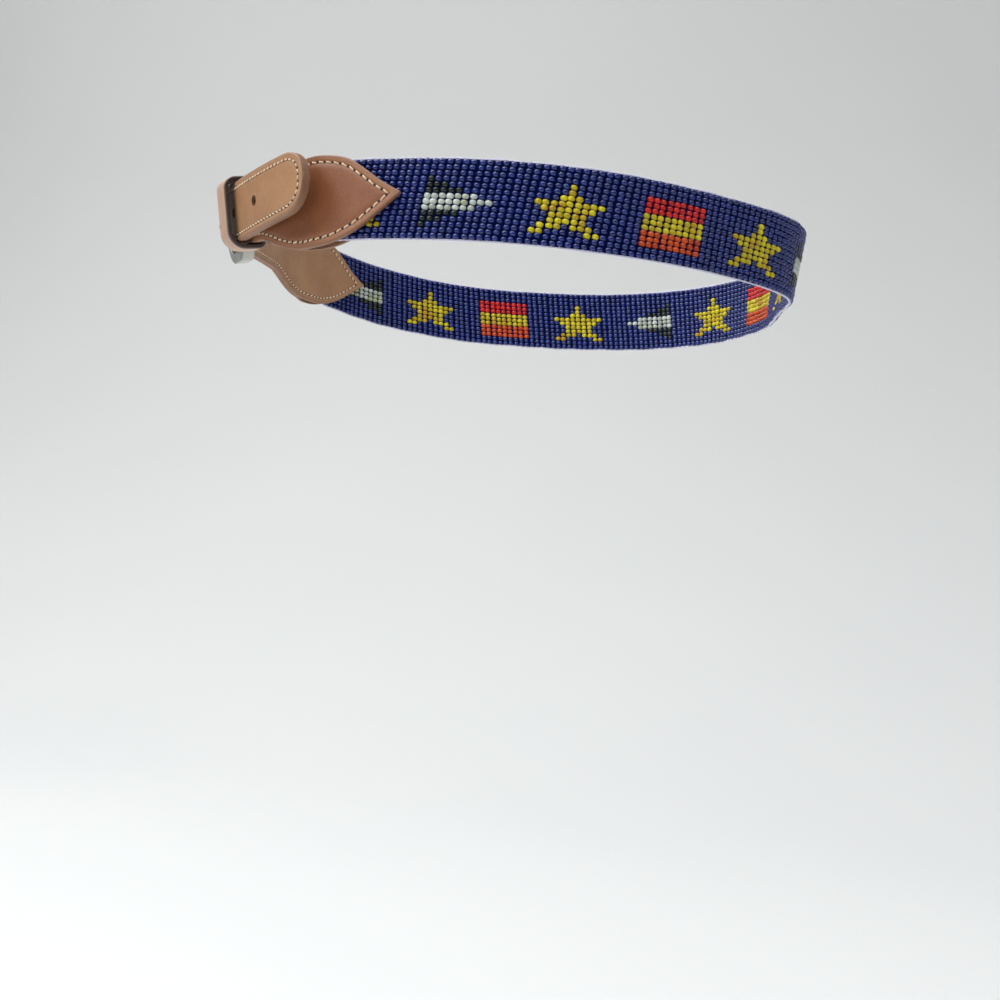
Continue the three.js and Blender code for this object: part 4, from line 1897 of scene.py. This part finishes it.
@dataclass
class Buckle:
    """Nickel frame with its heel bar, and the prong."""

    axes: BuckleAxes
    height: float = 27.0
    slack: float = 0.65
    drop: float = 0.1
    front_corner: float = 8.5
    inner_corner: float = 2.6
    heel_corner: float = 6.0
    over_heel: float = 1.6
    edge_radius: float = 1.5
    bar_seat: float = 1.2
    shank_flatness: float = 0.92
    ring_bevel: float = 0.4
    ring_bore_bevel: float = 0.2

    def _plate(self, name: str, outline: RoundedBox, half: float) -> bpy.types.Object:
        """Plate in the frame's plane.

        Args:
            name: Its name.
            outline: Its outline.
            half: Half its thickness.

        Returns:
            The object.
        """
        shape = bmesh.new()
        loft(shape, [[self.axes.at(-x, y, out) for x, y in outline.points()] for out in (-half, half)])
        return make_object(name, shape)

    def frame(self, material: bpy.types.Material) -> list[bpy.types.Object]:
        """Makes the frame with its heel bar.

        Args:
            material: Nickel.

        Returns:
            The one object.
        """
        half, inner_half = self.height / 2, STRAP_HALF + self.slack
        left, right = -(FRAME_REACH + RIM_WIDTH / 2), HEEL_BAR_RADIUS + self.over_heel
        corners = (self.front_corner, self.heel_corner, self.heel_corner, 10)
        outside = RoundedBox(left, -half - self.drop, right, half - self.drop, *corners)
        far = right + 2 * self.inner_corner
        sides = (left + RIM_WIDTH, -inner_half - self.drop, far, inner_half - self.drop)
        inside = RoundedBox(*sides, *(self.inner_corner,) * 3, 6)
        rim = self._plate("rim", outside, RIM_THICKNESS / 2)
        cut(rim, self._plate("frame_cutter", inside, RIM_THICKNESS))
        bevel = rim.modifiers.new("bevel", "BEVEL")
        bevel.width = self.edge_radius * MM
        bevel.segments = 5
        bevel.limit_method = "ANGLE"
        bevel.angle_limit = math.radians(50)
        apply_modifiers(rim)
        reach = inner_half + self.bar_seat
        line = [self.axes.at(0.0, -self.drop + s * reach, 0.0) for s in np.linspace(-1, 1, 5)]
        bar = make_object("heel_bar", tube(line, HEEL_BAR_RADIUS, 24))
        merged = join("buckle_frame_metal", [rim, bar], 45.0)
        merged.data.materials.append(material)
        return [merged]

    def prong(self, material: bpy.types.Material) -> list[bpy.types.Object]:
        """Makes the prong: its shank and the ring round the heel bar.

        Args:
            material: Nickel.

        Returns:
            The one object.
        """
        axes = self.axes
        start, tip = axes.prong_start, axes.prong_tip
        direction = (tip - start).normalized()
        length = (tip - start).length
        up = direction.cross(axes.rise).normalized()
        up = -up if up.dot(axes.out) < 0 else up
        profile = ((2.6, 1.0), (5.0, 1.0), (9.0, 0.98), (14.0, 0.94), (length - 1.6, 0.88))
        rings = []
        for along, scale in profile + ((length - 0.5, 0.7), (length, 0.35)):
            radius = PRONG_RADIUS * scale
            high = up * (radius * self.shank_flatness)
            rings.append(circle(start + direction * along, axes.rise * radius, high, 16))
        shape = bmesh.new()
        loft(shape, rings)
        inner = HEEL_BAR_RADIUS + CLEARANCE
        outer, half = inner + PRONG_RING_WALL, PRONG_RING_WIDTH / 2
        bore, rim = self.ring_bore_bevel, self.ring_bevel
        corners = ((inner, half - bore), (inner + bore, half), (outer - rim, half), (outer, half - rim))
        section = [(radius, -rise) for radius, rise in corners] + list(reversed(corners))
        rings = []
        for k in range(32):
            a = 2 * math.pi * k / 32
            turn = (math.cos(a), math.sin(a))
            rings.append([axes.at(radius * turn[0], rise, radius * turn[1]) for radius, rise in section])
        loft(shape, rings, Ends.JOINED)
        prong = make_object("prong_metal", shape, 45.0)
        prong.data.materials.append(material)
        return [prong]


# Stage


@dataclass(frozen=True)
class AreaLight:
    """A rectangular lamp, in metres and watts."""

    name: str
    place: tuple[float, float, float]
    target: tuple[float, float, float]
    size: tuple[float, float]
    power: float
    colour: tuple[float, float, float]

    def build(self) -> None:
        """Makes the lamp."""
        light = bpy.data.lights.new(self.name, "AREA")
        light.energy = self.power
        light.shape = "RECTANGLE"
        light.size, light.size_y = self.size
        light.color = self.colour
        lamp = bpy.data.objects.new(self.name, light)
        lamp.location = self.place
        aim = Vector(self.target) - Vector(self.place)
        lamp.rotation_euler = aim.to_track_quat("-Z", "Y").to_euler()
        bpy.context.scene.collection.objects.link(lamp)


@dataclass
class Studio:
    """Floor, light and camera, in metres but for the camera's place."""

    floor_size: float = 8.0
    floor_height: float = -0.42
    sweep_start: float = 1.1
    sweep_radius: float = 1.3
    sweep_steps: int = 16
    camera_place: tuple[float, float, float] = (436.95, 78.56, -99.59)
    camera_yaw: float = math.radians(10.45)
    camera_pitch: float = math.radians(2.26)
    camera_roll: float = math.radians(4.39)
    camera_lens: float = 45.0
    lights: tuple[AreaLight, ...] = (
        AreaLight("key", (0.75, -0.95, 0.75), (0.06, -0.02, 0.0), (0.7, 0.7), 7.5, (1.0, 0.985, 0.96)),
        AreaLight("top", (0.3, -0.45, 0.95), (0.05, 0.0, 0.0), (2.0, 0.5), 9.0, (0.95, 0.975, 1.0)),
        AreaLight("wall", (-0.7, -1.3, 1.4), (-2.4, 0.3, 0.5), (1.2, 1.2), 10.0, (1.0, 0.99, 0.97)),
    )

    def build(self) -> None:
        """Makes them."""
        self._floor()
        self._world()
        for light in self.lights:
            light.build()
        self._camera()
        bpy.context.scene.view_settings.view_transform = "Standard"

    def _floor(self) -> None:
        """Makes the paper, which sweeps up behind the object."""
        low, radius = self.floor_height, self.sweep_radius
        profile = [(self.floor_size, low), (-self.sweep_start, low)]
        for step in range(1, self.sweep_steps + 1):
            a = math.pi / 2 * step / self.sweep_steps
            profile.append((-self.sweep_start - radius * math.sin(a), low + radius * (1 - math.cos(a))))
        profile.append((-self.sweep_start - radius, self.floor_size))
        rows = [[Vector((x, y * self.floor_size, z)) / MM for y in (-1, 1)] for x, z in profile]
        shape = bmesh.new()
        loft(shape, rows, Ends.SHEET)
        floor = make_object("floor", shape, 80.0)
        material, nodes, shader = new_material("floor_paper")
        spot = nodes.add("ShaderNodeTexCoord").outputs["Object"]
        colour = nodes.mix(nodes.noise(spot, 1.5, 2.0), linear(222, 223, 222), linear(228, 228, 226))
        material.node_tree.links.new(colour, shader.inputs["Base Color"])
        shader.inputs["Roughness"].default_value = 0.9
        floor.data.materials.append(material)

    def _world(self) -> None:
        """Makes the sky, bright overhead, behind a plain grey that the camera sees."""
        world = bpy.data.worlds.new("studio")
        bpy.context.scene.world = world
        world.use_nodes = True
        tree = world.node_tree
        tree.nodes.clear()
        nodes = Nodes(tree)
        seen = nodes.add("ShaderNodeBackground", {"Color": (0.75, 0.77, 0.775, 1.0), "Strength": 1.0})
        spot = nodes.add("ShaderNodeTexCoord").outputs["Generated"]
        height = nodes.add("ShaderNodeSeparateXYZ", {0: spot}).outputs[2]
        sky = nodes.band(height, 0.35, 1.0, 0.07, 1.9)
        light = nodes.add("ShaderNodeBackground", {"Color": (0.95, 0.97, 1.0, 1.0), "Strength": sky})
        path = nodes.add("ShaderNodeLightPath")
        mix = nodes.add(
            "ShaderNodeMixShader",
            {0: path.outputs["Is Camera Ray"], 1: light.outputs[0], 2: seen.outputs[0]},
        )
        nodes.add("ShaderNodeOutputWorld", {0: mix.outputs[0]})

    def _camera(self) -> None:
        """Makes the camera."""
        yaw, pitch, roll = self.camera_yaw, self.camera_pitch, self.camera_roll
        across, ahead = -math.sin(yaw) * math.cos(pitch), -math.cos(yaw) * math.cos(pitch)
        forward = Vector((ahead, across, math.sin(pitch)))
        right = forward.cross(UP).normalized()
        above = right.cross(forward)
        turned = right * math.cos(roll) + above * math.sin(roll)
        above = above * math.cos(roll) - right * math.sin(roll)
        data = bpy.data.cameras.new("camera")
        data.lens = self.camera_lens
        data.sensor_width = 36.0
        data.clip_start = 0.01
        camera = bpy.data.objects.new("camera", data)
        axes = Matrix((turned, above, -forward)).transposed().to_4x4()
        axes.translation = Vector(self.camera_place) * MM
        camera.matrix_world = axes
        bpy.context.scene.collection.objects.link(camera)
        bpy.context.scene.camera = camera


def dress(node: str, objects: Sequence[bpy.types.Object]) -> None:
    """Puts pieces in place of a node and reports them.

    Args:
        node: CAD node that they replace.
        objects: The pieces.
    """
    for obj in objects:
        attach(obj, "root")
        LOG.info("%s: %s with %d faces", node, obj.name, len(obj.data.polygons))
    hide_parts(node)


def main() -> None:
    """Builds the belt's looks."""
    logging.basicConfig(level=logging.INFO, format="%(name)s: %(message)s")
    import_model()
    loop = BeltLoop()
    axes = BuckleAxes(loop)
    billet = Billet(loop, axes)
    LOG.info("loop %.1f mm long, billet's tip at %.1f mm", loop.length, billet.tip_arc)
    handling = wear_group()
    billet_tan = BILLET_TAN.build("billet_leather", handling)
    tab_brown_and_shade = TAB_BROWN_AND_SHADE.build("tab_leather", handling)
    nickel = MetalFinish((176, 174, 168), 0.26).build("nickel", handling)
    keeper_tan = KEEPER_TAN.build("keeper_leather", handling)
    buckle = Buckle(axes)
    dress("bead_band", BeadBand(loop, billet).build())
    dress("buckle_tab", BuckleTab(loop, axes).build(tab_brown_and_shade))
    dress("billet", BilletStrap(loop, billet, axes).build(billet_tan))
    dress("keeper", Keeper(loop).build(keeper_tan))
    dress("buckle_frame", buckle.frame(nickel))
    dress("prong", buckle.prong(nickel))
    Studio().build()


if __name__ == "__main__":
    main()
